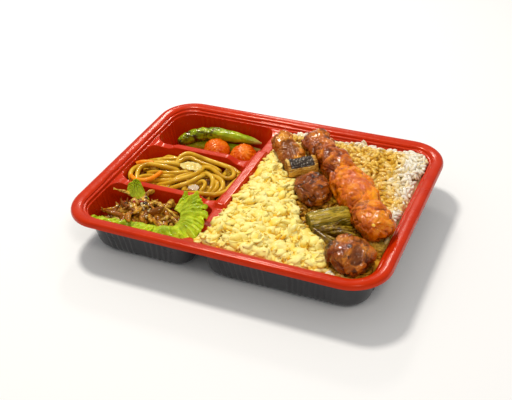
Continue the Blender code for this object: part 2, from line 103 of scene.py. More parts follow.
# Each lamp: its name, place, width in metres and power in watts.
LAMPS = [
    ("key_lamp", (-0.40, 0.30, 1.1), 0.20, 8.8),
    ("side_lamp", (0.5, -0.6, 1.0), 0.3, 3.0),
    ("back_lamp", (-0.45, 1.0, 0.85), 0.16, 2.3),
]
CAMERA_PLACE = Vector((0.25296, -0.54271, 0.43779))
CAMERA_TURN = math.radians(25.478)
CAMERA_HEIGHT = math.radians(34.953)
CAMERA_ROLL = math.radians(3.141)
CAMERA_LENS = 60.75


def lay_stage():
    """Floor, sky and lamps."""
    deselect()
    bpy.ops.mesh.primitive_plane_add(size=6, location=(0, 0, FLOOR_Z))
    floor = bpy.context.object
    floor.name = "floor"
    look = bpy.data.materials.new("floor_white")
    look.use_nodes = True
    shader = look.node_tree.nodes["Principled BSDF"]
    shader.inputs["Base Color"].default_value = (0.93, 0.93, 0.93, 1)
    shader.inputs["Roughness"].default_value = 0.9
    floor.data.materials.append(look)
    world = bpy.data.worlds.new("soft_sky")
    bpy.context.scene.world = world
    world.use_nodes = True
    world.node_tree.nodes["Background"].inputs["Color"].default_value = (1, 1, 1, 1)
    world.node_tree.nodes["Background"].inputs["Strength"].default_value = SKY_STRENGTH
    for name, place, size, power in LAMPS:
        bpy.ops.object.light_add(type="AREA", location=place)
        lamp = bpy.context.object
        lamp.name = name
        lamp.data.shape = "DISK"
        lamp.data.size = size
        lamp.data.energy = power
        lamp.data.color = LAMP_COLOUR
        aim = LAMP_AIM - Vector(place)
        lamp.rotation_euler = aim.to_track_quat("-Z", "Y").to_euler()


def place_camera():
    """Camera looking down at the front right corner, rolled a little."""
    turn, height, roll = CAMERA_TURN, CAMERA_HEIGHT, CAMERA_ROLL
    back = Vector((math.sin(turn) * math.cos(height), -math.cos(turn) * math.cos(height), math.sin(height)))
    level = Vector((math.cos(turn), math.sin(turn), 0))
    upright = back.cross(level)
    side = math.cos(roll) * level - math.sin(roll) * upright
    top = math.sin(roll) * level + math.cos(roll) * upright
    bpy.ops.object.camera_add(location=CAMERA_PLACE)
    camera = bpy.context.object
    camera.name = "view_camera"
    camera.data.lens = CAMERA_LENS
    camera.data.sensor_width = 36
    axes = Matrix((side, top, back)).transposed().to_4x4()
    camera.matrix_world = Matrix.Translation(CAMERA_PLACE) @ axes
    bpy.context.scene.camera = camera


lay_stage()
place_camera()
bpy.context.scene.view_settings.view_transform = "Standard"
print("camera at", tuple(round(v, 3) for v in bpy.context.scene.camera.location))

# %% [markdown]
# Every finish is a node material. These helpers add nodes and join them, so that a
# material reads as a few lines: its colour pattern, its gloss, and its fine relief.

# %% Material helpers
# Oily food throws the light back in this warm tint instead of white.
OIL = (1.0, 0.70, 0.32)
# The clear coat lies over the small relief and follows only this share of it.
COAT_SHARE = 0.22


def new_look(name, colour, rough, coat=0.0, soft=0.0, soft_radius=(0.004, 0.002, 0.001), glint=OIL):
    """A Principled material with its steady values set on the shader's own sockets."""
    look = bpy.data.materials.new(name)
    look.use_nodes = True
    shader = look.node_tree.nodes["Principled BSDF"]
    shader.inputs["Base Color"].default_value = (*colour, 1)
    shader.inputs["Roughness"].default_value = rough
    shader.inputs["Coat Weight"].default_value = coat
    shader.inputs["Coat Roughness"].default_value = 0.10
    shader.inputs["Specular IOR Level"].default_value = 0.25 if coat else 0.4
    shader.inputs["Specular Tint"].default_value = (*glint, 1)
    shader.inputs["Coat Tint"].default_value = (1.0, 0.97, 0.90, 1)
    shader.inputs["Subsurface Weight"].default_value = soft
    shader.inputs["Subsurface Radius"].default_value = soft_radius
    shader.inputs["Subsurface Scale"].default_value = 1.0
    return look


def add(look, kind, **values):
    """Add a node and set the properties that the values name."""
    item = look.node_tree.nodes.new("ShaderNode" + kind)
    for key, value in values.items():
        setattr(item, key, value)
    return item


def join(look, source, target):
    """Link an output socket to an input socket."""
    look.node_tree.links.new(source, target)


def spots(look, scale, detail=3.0, rough=0.55, stretch=(1, 1, 1)):
    """Noise over the object's own coordinates, in lumps per metre; returns its value."""
    where = add(look, "TexCoord")
    sized = add(look, "Mapping")
    sized.inputs["Scale"].default_value = stretch
    join(look, where.outputs["Object"], sized.inputs["Vector"])
    cloud = add(look, "TexNoise")
    cloud.inputs["Scale"].default_value = scale
    cloud.inputs["Detail"].default_value = detail
    cloud.inputs["Roughness"].default_value = rough
    join(look, sized.outputs["Vector"], cloud.inputs["Vector"])
    return cloud.outputs["Fac"]


def graded(look, value, stops):
    """Colour ramp fed by a value; stops are (position, colour)."""
    band = add(look, "ValToRGB")
    points = band.color_ramp.elements
    while len(points) < len(stops):
        points.new(0.5)
    for point, (place, colour) in zip(points, stops):
        point.position = place
        point.color = (*colour, 1)
    join(look, value, band.inputs["Fac"])
    return band.outputs["Color"]


def blended(look, part, first, second):
    """Mix of two colours by a value; each is a socket or a plain colour."""
    item = add(look, "Mix")
    item.data_type = "RGBA"
    join(look, part, item.inputs[0])
    for source, socket in ((first, item.inputs[6]), (second, item.inputs[7])):
        if isinstance(source, tuple):
            socket.default_value = (*source, 1)
        else:
            join(look, source, socket)
    return item.outputs[2]


def stepped(look, value, low, high, out_low=0.0, out_high=1.0):
    """Smoothly rescale a value from one range to another."""
    item = add(look, "MapRange")
    item.interpolation_type = "SMOOTHSTEP"
    item.inputs["From Min"].default_value = low
    item.inputs["From Max"].default_value = high
    item.inputs["To Min"].default_value = out_low
    item.inputs["To Max"].default_value = out_high
    join(look, value, item.inputs["Value"])
    return item.outputs["Result"]


def mark(look, name):
    """A value stored on the mesh, point by point."""
    item = add(look, "Attribute")
    item.attribute_name = name
    return item.outputs["Fac"]


def finish_look(look, colour=None, rough=None, relief=None, depth=0.0003):
    """Join the patterns to the shader: colour, roughness and a bump of that depth."""
    shader = look.node_tree.nodes["Principled BSDF"]
    if colour is not None:
        join(look, colour, shader.inputs["Base Color"])
    if rough is not None:
        join(look, rough, shader.inputs["Roughness"])
    if relief is not None:
        bump = add(look, "Bump")
        bump.inputs["Strength"].default_value = 1.0
        bump.inputs["Distance"].default_value = depth
        join(look, relief, bump.inputs["Height"])
        join(look, bump.outputs["Normal"], shader.inputs["Normal"])
        film = add(look, "Bump")
        film.inputs["Strength"].default_value = 1.0
        film.inputs["Distance"].default_value = depth * COAT_SHARE
        join(look, relief, film.inputs["Height"])
        join(look, film.outputs["Normal"], shader.inputs["Coat Normal"])
    return look


def wet_film(look, scale, depth):
    """Give the clear coat its own smooth beads, so that it glints in small sharp points."""
    shader = look.node_tree.nodes["Principled BSDF"]
    film = add(look, "Bump")
    film.inputs["Strength"].default_value = 1.0
    film.inputs["Distance"].default_value = depth
    join(look, spots(look, scale, 1.5, 0.4), film.inputs["Height"])
    join(look, film.outputs["Normal"], shader.inputs["Coat Normal"])
    return look


# %% [markdown]
# The tray is one thin sheet of plastic drawn down into four pockets, glossy red above and
# black below. It could be cut from a block, but a real one keeps the same thickness all
# over, so it is modelled as an open sheet of rings: the rim's rolled edge, its ledge, the
# web with its raised dividers, and each pocket's ribbed wall and rounded foot. A Solidify
# modifier then gives the sheet its thickness and the black underside.

# %% Tray plan
TRAY_LOW, TRAY_HIGH = (Vector(corner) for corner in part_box("tray"))
HALF_X = (TRAY_HIGH.x - TRAY_LOW.x) / 2
HALF_Y = (TRAY_HIGH.y - TRAY_LOW.y) / 2
RIM_Z = TRAY_HIGH.z
SHEET = 0.8 * MM
WEB_Z = RIM_Z - 6 * MM
RIDGE_Z = RIM_Z - 5.2 * MM
SADDLE_Z = RIM_Z - 9 * MM
DRAFT = math.radians(9)
FOOT = 8 * MM
RIM_CORNER = 31.6 * MM
MOUTH_X = HALF_X - 13.6 * MM
MOUTH_Y = HALF_Y - 13.6 * MM
RIDGE = (-24 * MM, -16 * MM, -36 * MM, 49 * MM)
MINOR_Y = 32.3 * MM
MINOR_HALF = 3 * MM
OUTER = 17.8 * MM
INNER = 11 * MM
RIB_PITCH = 5 * MM
RIB_DEPTH = 0.65 * MM

# name: (x0, x1, y0, y1), corner radii from front right counter-clockwise, ribbed sides
POCKETS = {
    "back": ((-MOUTH_X, RIDGE[0], MINOR_Y + MINOR_HALF, MOUTH_Y), (INNER, INNER, OUTER, INNER), "back left"),
    "middle": ((-MOUTH_X, RIDGE[0], MINOR_HALF - MINOR_Y, MINOR_Y - MINOR_HALF), (INNER,) * 4, "left"),
    "front": (
        (-MOUTH_X, RIDGE[0], -MOUTH_Y, -MINOR_Y - MINOR_HALF), (INNER, INNER, INNER, OUTER), "left front",
    ),
    "main": ((RIDGE[1], MOUTH_X, -MOUTH_Y, MOUTH_Y), (OUTER, OUTER, INNER, INNER), "right back front"),
}


def outline(box, radii, across, up, steps=12):
    """Counter-clockwise rounded rectangle as (x, y, side, share along that side)."""
    x0, x1, y0, y1 = box
    corners = [
        (x1 - radii[0], y0 + radii[0]),
        (x1 - radii[1], y1 - radii[1]),
        (x0 + radii[2], y1 - radii[2]),
        (x0 + radii[3], y0 + radii[3]),
    ]
    points = []
    for turn, side in enumerate(("right", "back", "left", "front")):
        cx, cy = corners[turn]
        for step in range(steps + 1):
            angle = math.radians(90 * (turn - 1 + step / steps))
            x = cx + radii[turn] * math.cos(angle)
            y = cy + radii[turn] * math.sin(angle)
            points.append((x, y, "corner", 0.0))
        count = up if side in ("right", "left") else across
        nx, ny = corners[(turn + 1) % 4]
        fixed = {"right": (x1, None), "back": (None, y1), "left": (x0, None), "front": (None, y0)}[side]
        for step in range(1, count):
            share = step / count
            x = fixed[0] if fixed[0] is not None else mix(cx, nx, share)
            y = fixed[1] if fixed[1] is not None else mix(cy, ny, share)
            points.append((x, y, side, share))
    return points


def shrink(box, inset):
    """Move every side of a box inwards."""
    return (box[0] + inset, box[1] - inset, box[2] + inset, box[3] - inset)


def web_height(x, y):
    """Height of the web: raised middles of the dividers, lower where they meet."""
    left_end = mix(RIM_Z - 8 * MM, WEB_Z, ramp(x, -104 * MM, -96 * MM))
    minor = mix(left_end, RIM_Z - 10.5 * MM, ramp(x, -47 * MM, -35 * MM))
    if y > 0:
        beyond = ramp(y, RIDGE[3], RIDGE[3] + 3.5 * MM)
    else:
        beyond = ramp(-y, -RIDGE[2], 3.5 * MM - RIDGE[2])
    ridge = mix(RIDGE_Z, SADDLE_Z, beyond)
    inner = mix(minor, ridge, ramp(x, RIDGE[0] - 4.5 * MM, RIDGE[0] - 0.3 * MM))
    near_wall = max(ramp(abs(y), 78 * MM, 87 * MM), ramp(abs(x), 110 * MM, 118 * MM))
    return mix(inner, WEB_Z, near_wall)


print("tray", round(2 * HALF_X / MM), "x", round(2 * HALF_Y / MM), "x", round(RIM_Z / MM), "mm")


# %% Tray rings
RIM_SECTION = [
    (0.0, 35.6), (0.0, 36.6), (0.12, 37.6), (0.5, 38.6), (1.15, 39.35), (2.1, 39.82),
    (3.3, 40.0), (4.6, 39.93), (6.2, 39.68), (7.8, 39.3), (8.9, 38.95), (9.35, 38.55),
    (9.6, 37.9), (9.8, 37.3), (10.1, 36.95), (10.8, 36.8), (11.6, 36.68), (12.0, 36.45),
    (12.2, 35.9), (12.3, 35.1), (12.45, 34.5), (12.7, 34.12), (12.95, 34.0),
]
LIP_ROUND = [(-0.55, 0.0), (-0.22, 0.09), (0.0, 0.34), (0.1, 0.8)]
BEAD_Z = 37.9 * MM


def rib_push(side, share, length, ribbed):
    """How far a rib pushes the wall out: two groups of ribs with a plain panel between."""
    if side not in ribbed:
        return 0.0
    for start, end in ((0.03, 0.43), (0.57, 0.97)):
        if start <= share <= end:
            turns = max(1, round(length * (end - start) / RIB_PITCH))
            wave = 0.5 - 0.5 * math.cos(math.tau * turns * (share - start) / (end - start))
            return RIB_DEPTH * wave ** 1.5
    return 0.0


def bead_push(x, y):
    """The snap bead under the rim's inner edge runs in lengths, one for each pocket."""
    if abs(y) > abs(x) * HALF_Y / HALF_X:
        spans = ((-106, -38), (-8, 106))
        along = x / MM
    elif x < 0:
        spans = ((-86, -42), (-26, 26), (42, 86))
        along = y / MM
    else:
        spans = ((-78, -4), (4, 78))
        along = y / MM
    return max(ramp(along, a, a + 2) * ramp(-along, -b, 2 - b) for a, b in spans)


def rim_rings(bm):
    """Rings of the rim from the lip's lower edge in to the web."""
    half = (-HALF_X, HALF_X, -HALF_Y, HALF_Y)
    rings = []
    for inset, height in RIM_SECTION:
        z = height * MM * RIM_Z / (40 * MM)
        bead = 0.5 * MM * math.exp(-((z - BEAD_Z) / (0.5 * MM)) ** 2)
        inset *= MM
        base = outline(shrink(half, inset), (RIM_CORNER - inset,) * 4, 60, 42)
        pushed = outline(shrink(half, inset + bead), (RIM_CORNER - inset - bead,) * 4, 60, 42)
        ring = []
        for (x, y, side, share), (px, py, _, _) in zip(base, pushed):
            part = bead_push(x, y)
            ring.append(bm.verts.new((mix(x, px, part), mix(y, py, part), z)))
        rings.append(ring)
    return rings


def pocket_rings(bm, name):
    """Rings of one pocket: rounded mouth, ribbed drafted wall, rounded foot."""
    box, radii, ribbed = POCKETS[name]
    across = round((box[1] - box[0]) / (1.0 * MM))
    up = round((box[3] - box[2]) / (1.0 * MM))
    foot_z = SHEET + FOOT * (1 - math.sin(DRAFT))
    foot_inset = (WEB_Z - foot_z) * math.tan(DRAFT)
    mouth = outline(box, radii, across, up)
    deeper = outline(shrink(box, MM), radii, across, up)
    rounded = {"right": radii[0] + radii[1], "back": radii[1] + radii[2], "left": radii[2] + radii[3]}
    rounded.update({"front": radii[3] + radii[0], "corner": 0})
    levels = [("lip", inset, drop) for inset, drop in LIP_ROUND]
    levels += [("wall", part, 0.0) for part in (0.15, 0.4, 0.7, 1.0)]
    levels += [("foot", degrees, 0.0) for degrees in (24, 42, 60, 75, 90)]
    rings = []
    for kind, first, second in levels:
        ring = []
        for (x, y, side, share), (dx, dy, _, _) in zip(mouth, deeper):
            top = web_height(x, y)
            length = (box[1] - box[0]) if side in ("back", "front") else (box[3] - box[2])
            length -= rounded[side]
            push = rib_push(side, share, length, ribbed)
            lip_inset = (WEB_Z - top) * math.tan(DRAFT)
            if kind == "lip":
                z = top - second * MM
                inset = lip_inset + first * MM
                push *= 0.0 if first < 0 else 0.55
            elif kind == "wall":
                z = mix(top - 0.8 * MM, foot_z, first)
                inset = (WEB_Z - z) * math.tan(DRAFT)
            else:
                angle = math.radians(first)
                z = SHEET + FOOT * (1 - math.sin(angle))
                inset = foot_inset + FOOT * (math.cos(DRAFT) - math.cos(angle))
                push *= ramp(90 - first, 0, 40)
            reach = (inset - push) / MM
            ring.append(bm.verts.new((mix(x, dx, reach), mix(y, dy, reach), z)))
        rings.append(ring)
    return rings


def bridge(bm, rings):
    """Quads between neighbouring rings of equal length."""
    for low, high in zip(rings, rings[1:]):
        for index in range(len(low)):
            after = (index + 1) % len(low)
            bm.faces.new((low[index], low[after], high[after], high[index]))


def is_inside(x, y, ring):
    """Even-odd test of a point in a ring of corners."""
    hit = False
    for index, (ax, ay) in enumerate(ring):
        bx, by = ring[index - 1]
        if (ay > y) != (by > y) and x < ax + (bx - ax) * (y - ay) / (by - ay):
            hit = not hit
    return hit


def fill_web(bm, outer, mouths):
    """Triangles between the rim and the pocket mouths, following the dividers' height."""
    rings = [outer] + mouths
    shapes = [[(vert.co.x, vert.co.y) for vert in ring] for ring in rings]
    verts = [vert for ring in rings for vert in ring]
    spacing = 1.6 * MM
    for row in range(-57, 58):
        for column in range(-76, 6):
            x, y = column * spacing, row * spacing
            near = abs(abs(y) - MINOR_Y) < 18 * MM or x > -40 * MM
            if not near or any(is_inside(x, y, shape) for shape in shapes[1:]):
                continue
            if not is_inside(x, y, shapes[0]):
                continue
            gap = min(math.hypot(x - px, y - py) for shape in shapes for px, py in shape)
            if gap > 0.7 * MM:
                verts.append(bm.verts.new((x, y, web_height(x, y))))
    flat = [Vector((vert.co.x, vert.co.y)) for vert in verts]
    edges = []
    start = 0
    for ring in rings:
        edges += [(start + i, start + (i + 1) % len(ring)) for i in range(len(ring))]
        start += len(ring)
    made = geometry.delaunay_2d_cdt(flat, edges, [], 0, 1e-7)
    for face in made[2]:
        if any(index >= len(verts) and not made[3][index] for index in face):
            continue
        corners = [verts[made[3][index][0]] for index in face]
        x = sum(vert.co.x for vert in corners) / 3
        y = sum(vert.co.y for vert in corners) / 3
        if is_inside(x, y, shapes[0]) and not any(is_inside(x, y, s) for s in shapes[1:]):
            bm.faces.new(corners)


def build_tray():
    """The whole sheet, thickened."""
    bm = bmesh.new()
    rim = rim_rings(bm)
    bridge(bm, rim)
    mouths = []
    for name in POCKETS:
        rings = pocket_rings(bm, name)
        bridge(bm, rings)
        mouths.append(rings[0])
        bm.faces.new(rings[-1])
    fill_web(bm, rim[-1], mouths)
    bmesh.ops.recalc_face_normals(bm, faces=bm.faces)
    top = max(bm.faces, key=lambda face: face.calc_center_median().z)
    if top.normal.z < 0:
        bmesh.ops.reverse_faces(bm, faces=bm.faces)
    mesh = bpy.data.meshes.new("tray_sheet")
    bm.to_mesh(mesh)
    bm.free()
    tray = bpy.data.objects.new("tray_sheet", mesh)
    bpy.context.scene.collection.objects.link(tray)
    shell = tray.modifiers.new("Sheet", "SOLIDIFY")
    shell.thickness = SHEET
    shell.offset = -1
    shell.use_even_offset = True
    shell.material_offset = 1
    return tray


tray = build_tray()
print("tray sheet faces:", len(tray.data.polygons))

# %% [markdown]
# Moulded plastic is one colour, but never one gloss: thin sheet ripples a little where it
# was stretched, and handling leaves faint smudges. Slow noise shifts the roughness, and a
# very shallow bump makes the highlights wander along the rim.

# %% Red and black plastic
def plastic(name, colour, deep, rough, glint):
    """Glossy sheet plastic with faint ripples and smudges."""
    look = new_look(name, colour, rough, coat=0.10, glint=glint)
    tone = graded(look, spots(look, 60, 2), [(0.3, deep), (0.7, colour)])
    gloss = stepped(look, spots(look, 35, 4), 0.3, 0.7, rough - 0.06, rough + 0.1)
    return finish_look(look, tone, gloss, spots(look, 130, 2), 0.00018)


def paint_tray(piece):
    """Red above, black below; the modifier picks the second slot for the underside."""
    red = plastic("red_sheet", (0.60, 0.028, 0.001), (0.52, 0.020, 0.0008), 0.22, (1.0, 0.45, 0.30))
    black = plastic("black_sheet", (0.060, 0.060, 0.063), (0.044, 0.044, 0.047), 0.32, (1, 1, 1))
    piece.data.materials.append(red)
    piece.data.materials.append(black)
    apply_all(piece)
    piece.data.shade_smooth()
    piece.data.set_sharp_from_angle(angle=math.radians(38))


paint_tray(tray)
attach(tray, "root")
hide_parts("tray")
print("tray triangles:", sum(len(face.vertices) - 2 for face in tray.data.polygons))

# %% [markdown]
# The food is built over the imported solids. These helpers copy a solid as a closed mesh,
# refine it, press soft relief into it from layered noise, and note on every point how far
# it stands proud, so that a material can darken the high, browned places and paint shade into the low ones.

# %% Shape helpers
def solid_copy(node, name):
    """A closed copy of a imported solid, as a new object."""
    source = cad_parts[node]
    mesh = source.data.copy()
    mesh.materials.clear()
    bm = bmesh.new()
    bm.from_mesh(mesh)
    bmesh.ops.remove_doubles(bm, verts=bm.verts, dist=1e-5)
    bmesh.ops.recalc_face_normals(bm, faces=bm.faces)
    bm.to_mesh(mesh)
    bm.free()
    piece = bpy.data.objects.new(name, mesh)
    bpy.context.scene.collection.objects.link(piece)
    return piece


def refined(piece, voxel):
    """Cover a solid in small faces of one size, closed and without folds."""
    grid = piece.modifiers.new("Even", "REMESH")
    grid.mode = "VOXEL"
    grid.voxel_size = voxel
    grid.use_smooth_shade = True
    return apply_all(piece)


def hills(point, scale, seed):
    """Smooth noise from -1 to 1, one lump in each stretch of that scale."""
    return noise.noise(point / scale + Vector((seed * 7.3, seed * 3.1, seed * 5.7)))


def creases(point, scale, seed):
    """Rounded lumps parted by narrow valleys: 1 on a lump, 0 in a valley."""
    return min(1.0, abs(hills(point, scale, seed)) * 3.0)


def relief(piece, height_at):
    """Move every point along its normal by height_at(point) and note how far, as "proud"."""
    mesh = piece.data
    normals = [vertex.normal.copy() for vertex in mesh.vertices]
    moves = [height_at(vertex.co.copy()) for vertex in mesh.vertices]
    for vertex, normal, move in zip(mesh.vertices, normals, moves):
        vertex.co += normal * move
    store(mesh, "proud", moves, 1 / max(1e-9, max(abs(move) for move in moves)))
    mesh.update()
    return piece


def store(mesh, name, values, gain=1.0):
    """Keep one number for each point of a mesh under a name."""
    layer = mesh.attributes.new(name, "FLOAT", "POINT")
    layer.data.foreach_set("value", np.asarray(values, dtype=np.float32) * gain)


def settle(piece, node, smooth=True):
    """Hand a finished piece over: it rides with the tray and stands for its solid, if it has one."""
    if smooth:
        piece.data.shade_smooth()
    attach(piece, "root")
    if node:
        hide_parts(node)
    count = sum(len(face.vertices) - 2 for face in piece.data.polygons)
    print(piece.name, count, "triangles")
    return piece


def mesh_piece(name, points, faces, tones=None):
    """A new object from arrays of points and faces, with an optional tone per point."""
    mesh = bpy.data.meshes.new(name)
    mesh.from_pydata([tuple(point) for point in points], [], [tuple(face) for face in faces])
    mesh.update()
    if tones is not None:
        store(mesh, "tone", tones)
    piece = bpy.data.objects.new(name, mesh)
    bpy.context.scene.collection.objects.link(piece)
    return piece


def tree_of(piece):
    """Search tree of an object's faces, to find the height of its top at a place."""
    mesh = piece.data
    return BVHTree.FromPolygons([v.co for v in mesh.vertices], [p.vertices for p in mesh.polygons])


def top_of(tree, x, y):
    """Height of the highest face over a place, or None where there is no face."""
    hit = tree.ray_cast(Vector((x, y, 0.2)), Vector((0, 0, -1)))[0]
    return None if hit is None else hit.z


def ball_mesh(sides, rings):
    """Unit sphere as arrays, for small joined things."""
    points = [(0, 0, -1)]
    for ring in range(1, rings):
        low = math.pi * ring / rings
        for side in range(sides):
            turn = math.tau * side / sides
            points.append((math.sin(low) * math.cos(turn), math.sin(low) * math.sin(turn), -math.cos(low)))
    points.append((0, 0, 1))
    faces = [(0, 1 + (side + 1) % sides, 1 + side) for side in range(sides)]
    for ring in range(rings - 2):
        start = 1 + ring * sides
        for side in range(sides):
            after = (side + 1) % sides
            faces.append((start + side, start + after, start + sides + after, start + sides + side))
    start = 1 + (rings - 2) * sides
    last = len(points) - 1
    faces += [(start + side, start + (side + 1) % sides, last) for side in range(sides)]
    return np.array(points), faces


def pokes_out(points):
    """Whether any point would go through the outer walls of the tray."""
    inset = np.where(points[:, 2] > WEB_Z, -2 * MM, (WEB_Z - points[:, 2]) * math.tan(DRAFT) + 0.5 * MM)
    over_x = np.abs(points[:, 0]) - (MOUTH_X - OUTER)
    over_y = np.abs(points[:, 1]) - (MOUTH_Y - OUTER)
    corner = np.hypot(np.maximum(over_x, 0), np.maximum(over_y, 0))
    return bool((corner > OUTER - inset).any())


class Pile:
    """Small things dropped one by one on a field of heights, then joined in one mesh."""

    def __init__(self, low, high, pitch, height_at):
        self.low = np.array(low)
        self.pitch = pitch
        self.shape = (int((high[0] - low[0]) / pitch) + 1, int((high[1] - low[1]) / pitch) + 1)
        self.field = np.full(self.shape, -1.0)
        for i in range(self.shape[0]):
            for j in range(self.shape[1]):
                z = height_at(low[0] + i * pitch, low[1] + j * pitch)
                self.field[i, j] = -1.0 if z is None else z
        self.points, self.faces, self.tones, self.count = [], [], [], 0

    def cells(self, x, y):
        """Field cells under arrays of places."""
        i = np.clip(np.rint((x - self.low[0]) / self.pitch).astype(int), 0, self.shape[0] - 1)
        j = np.clip(np.rint((y - self.low[1]) / self.pitch).astype(int), 0, self.shape[1] - 1)
        return i, j

    def height(self, x, y):
        """Height of the field at one place."""
        i, j = self.cells(np.array([x]), np.array([y]))
        return float(self.field[i[0], j[0]])

    def slope(self, x, y, turn, reach):
        """Rise along a direction at a place, as an angle."""
        dx, dy = math.cos(turn) * reach, math.sin(turn) * reach
        fore, aft = self.height(x + dx, y + dy), self.height(x - dx, y - dy)
        if min(fore, aft) < 0:
            return 0.0
        return math.atan2(fore - aft, 2 * reach)

    def drop(self, shape, faces, x, y, turn, lean=0.0, rest=25, tone=0.5, most=1.0, shade=0.0):
        """Lay a thing of the given shape at a place, resting on what lies there; shade shifts the tone of
        its low side, as painted shade.
        """
        long = float(np.abs(shape[:, 0]).max())
        wide = float(np.abs(shape[:, 1]).max())
        pitch = self.slope(x, y, turn, long * 0.7)
        roll = self.slope(x, y, turn + math.pi / 2, wide * 0.8) + lean
        axes = Matrix.Rotation(turn, 3, "Z") @ Matrix.Rotation(-pitch, 3, "Y")
        axes = axes @ Matrix.Rotation(roll, 3, "X")
        placed = shape @ np.array(axes).T + np.array((x, y, 0.0))
        i, j = self.cells(placed[:, 0], placed[:, 1])
        under = self.field[i, j]
        if (under < 0).mean() > 0.35:
            return False
        gaps = np.where(under < 0, -1.0, under - placed[:, 2])
        lift = np.percentile(gaps[gaps > -1.0], 100 - rest)
        placed[:, 2] += lift
        if placed[:, 2].max() > most or pokes_out(placed):
            return False
        np.maximum.at(self.field, (i, j), np.where(under < 0, -1.0, placed[:, 2]))
        self.points.append(placed)
        self.faces += [tuple(index + self.count for index in face) for face in faces]
        low, high = placed[:, 2].min(), placed[:, 2].max()
        # Painted shade: shade shifts the tone on the low side of each thing, most at its bottom.
        self.tones += list(tone + shade * (1 - (placed[:, 2] - low) / max(1e-6, high - low)))
        self.count += len(placed)
        return True

    def joined(self, name):
        """All the dropped things as one object."""
        return mesh_piece(name, np.concatenate(self.points), self.faces, self.tones)


print("helpers ready")

# %% [markdown]
# Two green peppers lie behind the dividers, softened on the grill: a long tapering pod
# with shallow grooves and dents, glossy, with one end charred and blistered. Each starts
# as a curve with a bevel, with the radius set at every point, and is then remeshed so
# that dents and blisters can be pressed into it. Real scorching sits on the bulges.

# %% Peppers
def curve_piece(name, lines, sides=8, steps=8):
    """Round tubes along lines of (x, y, z, radius), converted to one mesh."""
    data = bpy.data.curves.new(name, "CURVE")
    data.dimensions = "3D"
    data.bevel_depth = 1.0
    data.bevel_resolution = sides // 2 - 2
    data.use_fill_caps = True
    for line in lines:
        spline = data.splines.new("NURBS")
        spline.points.add(len(line) - 1)
        for point, (x, y, z, radius) in zip(spline.points, line):
            point.co = (x * MM, y * MM, z * MM, 1)
            point.radius = radius * MM
        spline.order_u = 4
        spline.use_endpoint_u = True
        spline.resolution_u = steps
    piece = bpy.data.objects.new(name, data)
    bpy.context.scene.collection.objects.link(piece)
    take(piece)
    bpy.ops.object.convert(target="MESH")
    piece = bpy.context.object
    bpy.ops.object.mode_set(mode="EDIT")
    bpy.ops.mesh.select_all(action="SELECT")
    bpy.ops.mesh.remove_doubles(threshold=0.00001)
    bpy.ops.object.mode_set(mode="OBJECT")
    return piece


PEPPER_LINES = {
    "pepper_back": [
        (-112, 61, 18, 3.0), (-109, 66, 19.5, 5.0), (-102, 72, 21.5, 6.2), (-92, 76.5, 23.5, 5.6),
        (-80, 79, 24, 6.4), (-68, 79.5, 24, 5.6), (-60, 80, 23.6, 5.2), (-54.5, 80.2, 23, 3.6),
        (-49, 80.5, 22.5, 4.4), (-41, 81, 21.5, 3.0), (-35, 81.5, 21, 1.2),
    ],
    "pepper_front": [
        (-110, 69, 10.5, 3.0), (-101, 74, 10.5, 5.0), (-90, 77, 10.5, 5.6), (-76, 77.5, 11, 5.4),
        (-62, 78, 11, 5.0), (-52, 79, 12, 4.0), (-43, 80, 13.5, 2.6), (-36, 80.5, 14, 1.2),
    ],
}


def pepper(node, seed):
    """One grilled pepper with grooves along it, dents and blisters."""
    piece = curve_piece(node + "_pod", [PEPPER_LINES[node]], 16, 8)
    refined(piece, 0.7 * MM)

    def dents(point):
        blister = max(0.0, hills(point, 3.2 * MM, seed + 1)) * ramp(-point.x, 62 * MM, 96 * MM)
        groove = creases(Vector((point.x * 0.25, point.y, point.z)), 5 * MM, seed)
        return MM * (0.9 * hills(point, 11 * MM, seed) + 0.5 * groove + 0.75 * blister - 0.5)

    relief(piece, dents)
    return piece


def pepper_look(name, char):
    """Bright olive green skin, yellow towards the tip, charred at the stem end."""
    look = new_look(name, (0.12, 0.16, 0.01), 0.22, coat=0.35, soft=0.08)
    where = add(look, "TexCoord")
    parts = add(look, "SeparateXYZ")
    join(look, where.outputs["Object"], parts.inputs["Vector"])
    greens = graded(look, spots(look, 110, 4), [
        (0.25, (0.13, 0.22, 0.001)), (0.5, (0.30, 0.42, 0.002)), (0.75, (0.52, 0.58, 0.015)),
    ])
    pale = stepped(look, parts.outputs["X"], -0.050, -0.034)
    tipped = blended(look, pale, greens, (0.52, 0.40, 0.10))
    scorch = add(look, "Math", operation="MULTIPLY")
    join(look, stepped(look, spots(look, 150, 5, 0.65), 0.40, 0.60), scorch.inputs[0])
    join(look, stepped(look, parts.outputs["X"], -0.064, -0.086, 0.0, char), scorch.inputs[1])
    colour = blended(look, scorch.outputs[0], tipped, (0.045, 0.022, 0.004))
    rough = stepped(look, spots(look, 200, 3), 0.35, 0.65, 0.14, 0.38)
    return finish_look(look, colour, rough, spots(look, 900, 4), 0.00022)


PEPPER_SKINS = {
    "pepper_back": pepper_look("pepper_charred", 1.0),
    "pepper_front": pepper_look("pepper_green", 0.15),
}
for order, node in enumerate(PEPPER_LINES):
    pod = pepper(node, 3 + order * 4)
    pod.data.materials.append(PEPPER_SKINS[node])
    settle(pod, node)

# %% [markdown]
# The tomatoes are grilled too. The skin has shrunk and wrinkled over a soft sphere, so the
# relief is a fan of fine creases that run from the stem scar, with a few big dents, and
# the surface is wet: little highlights break on every fold.

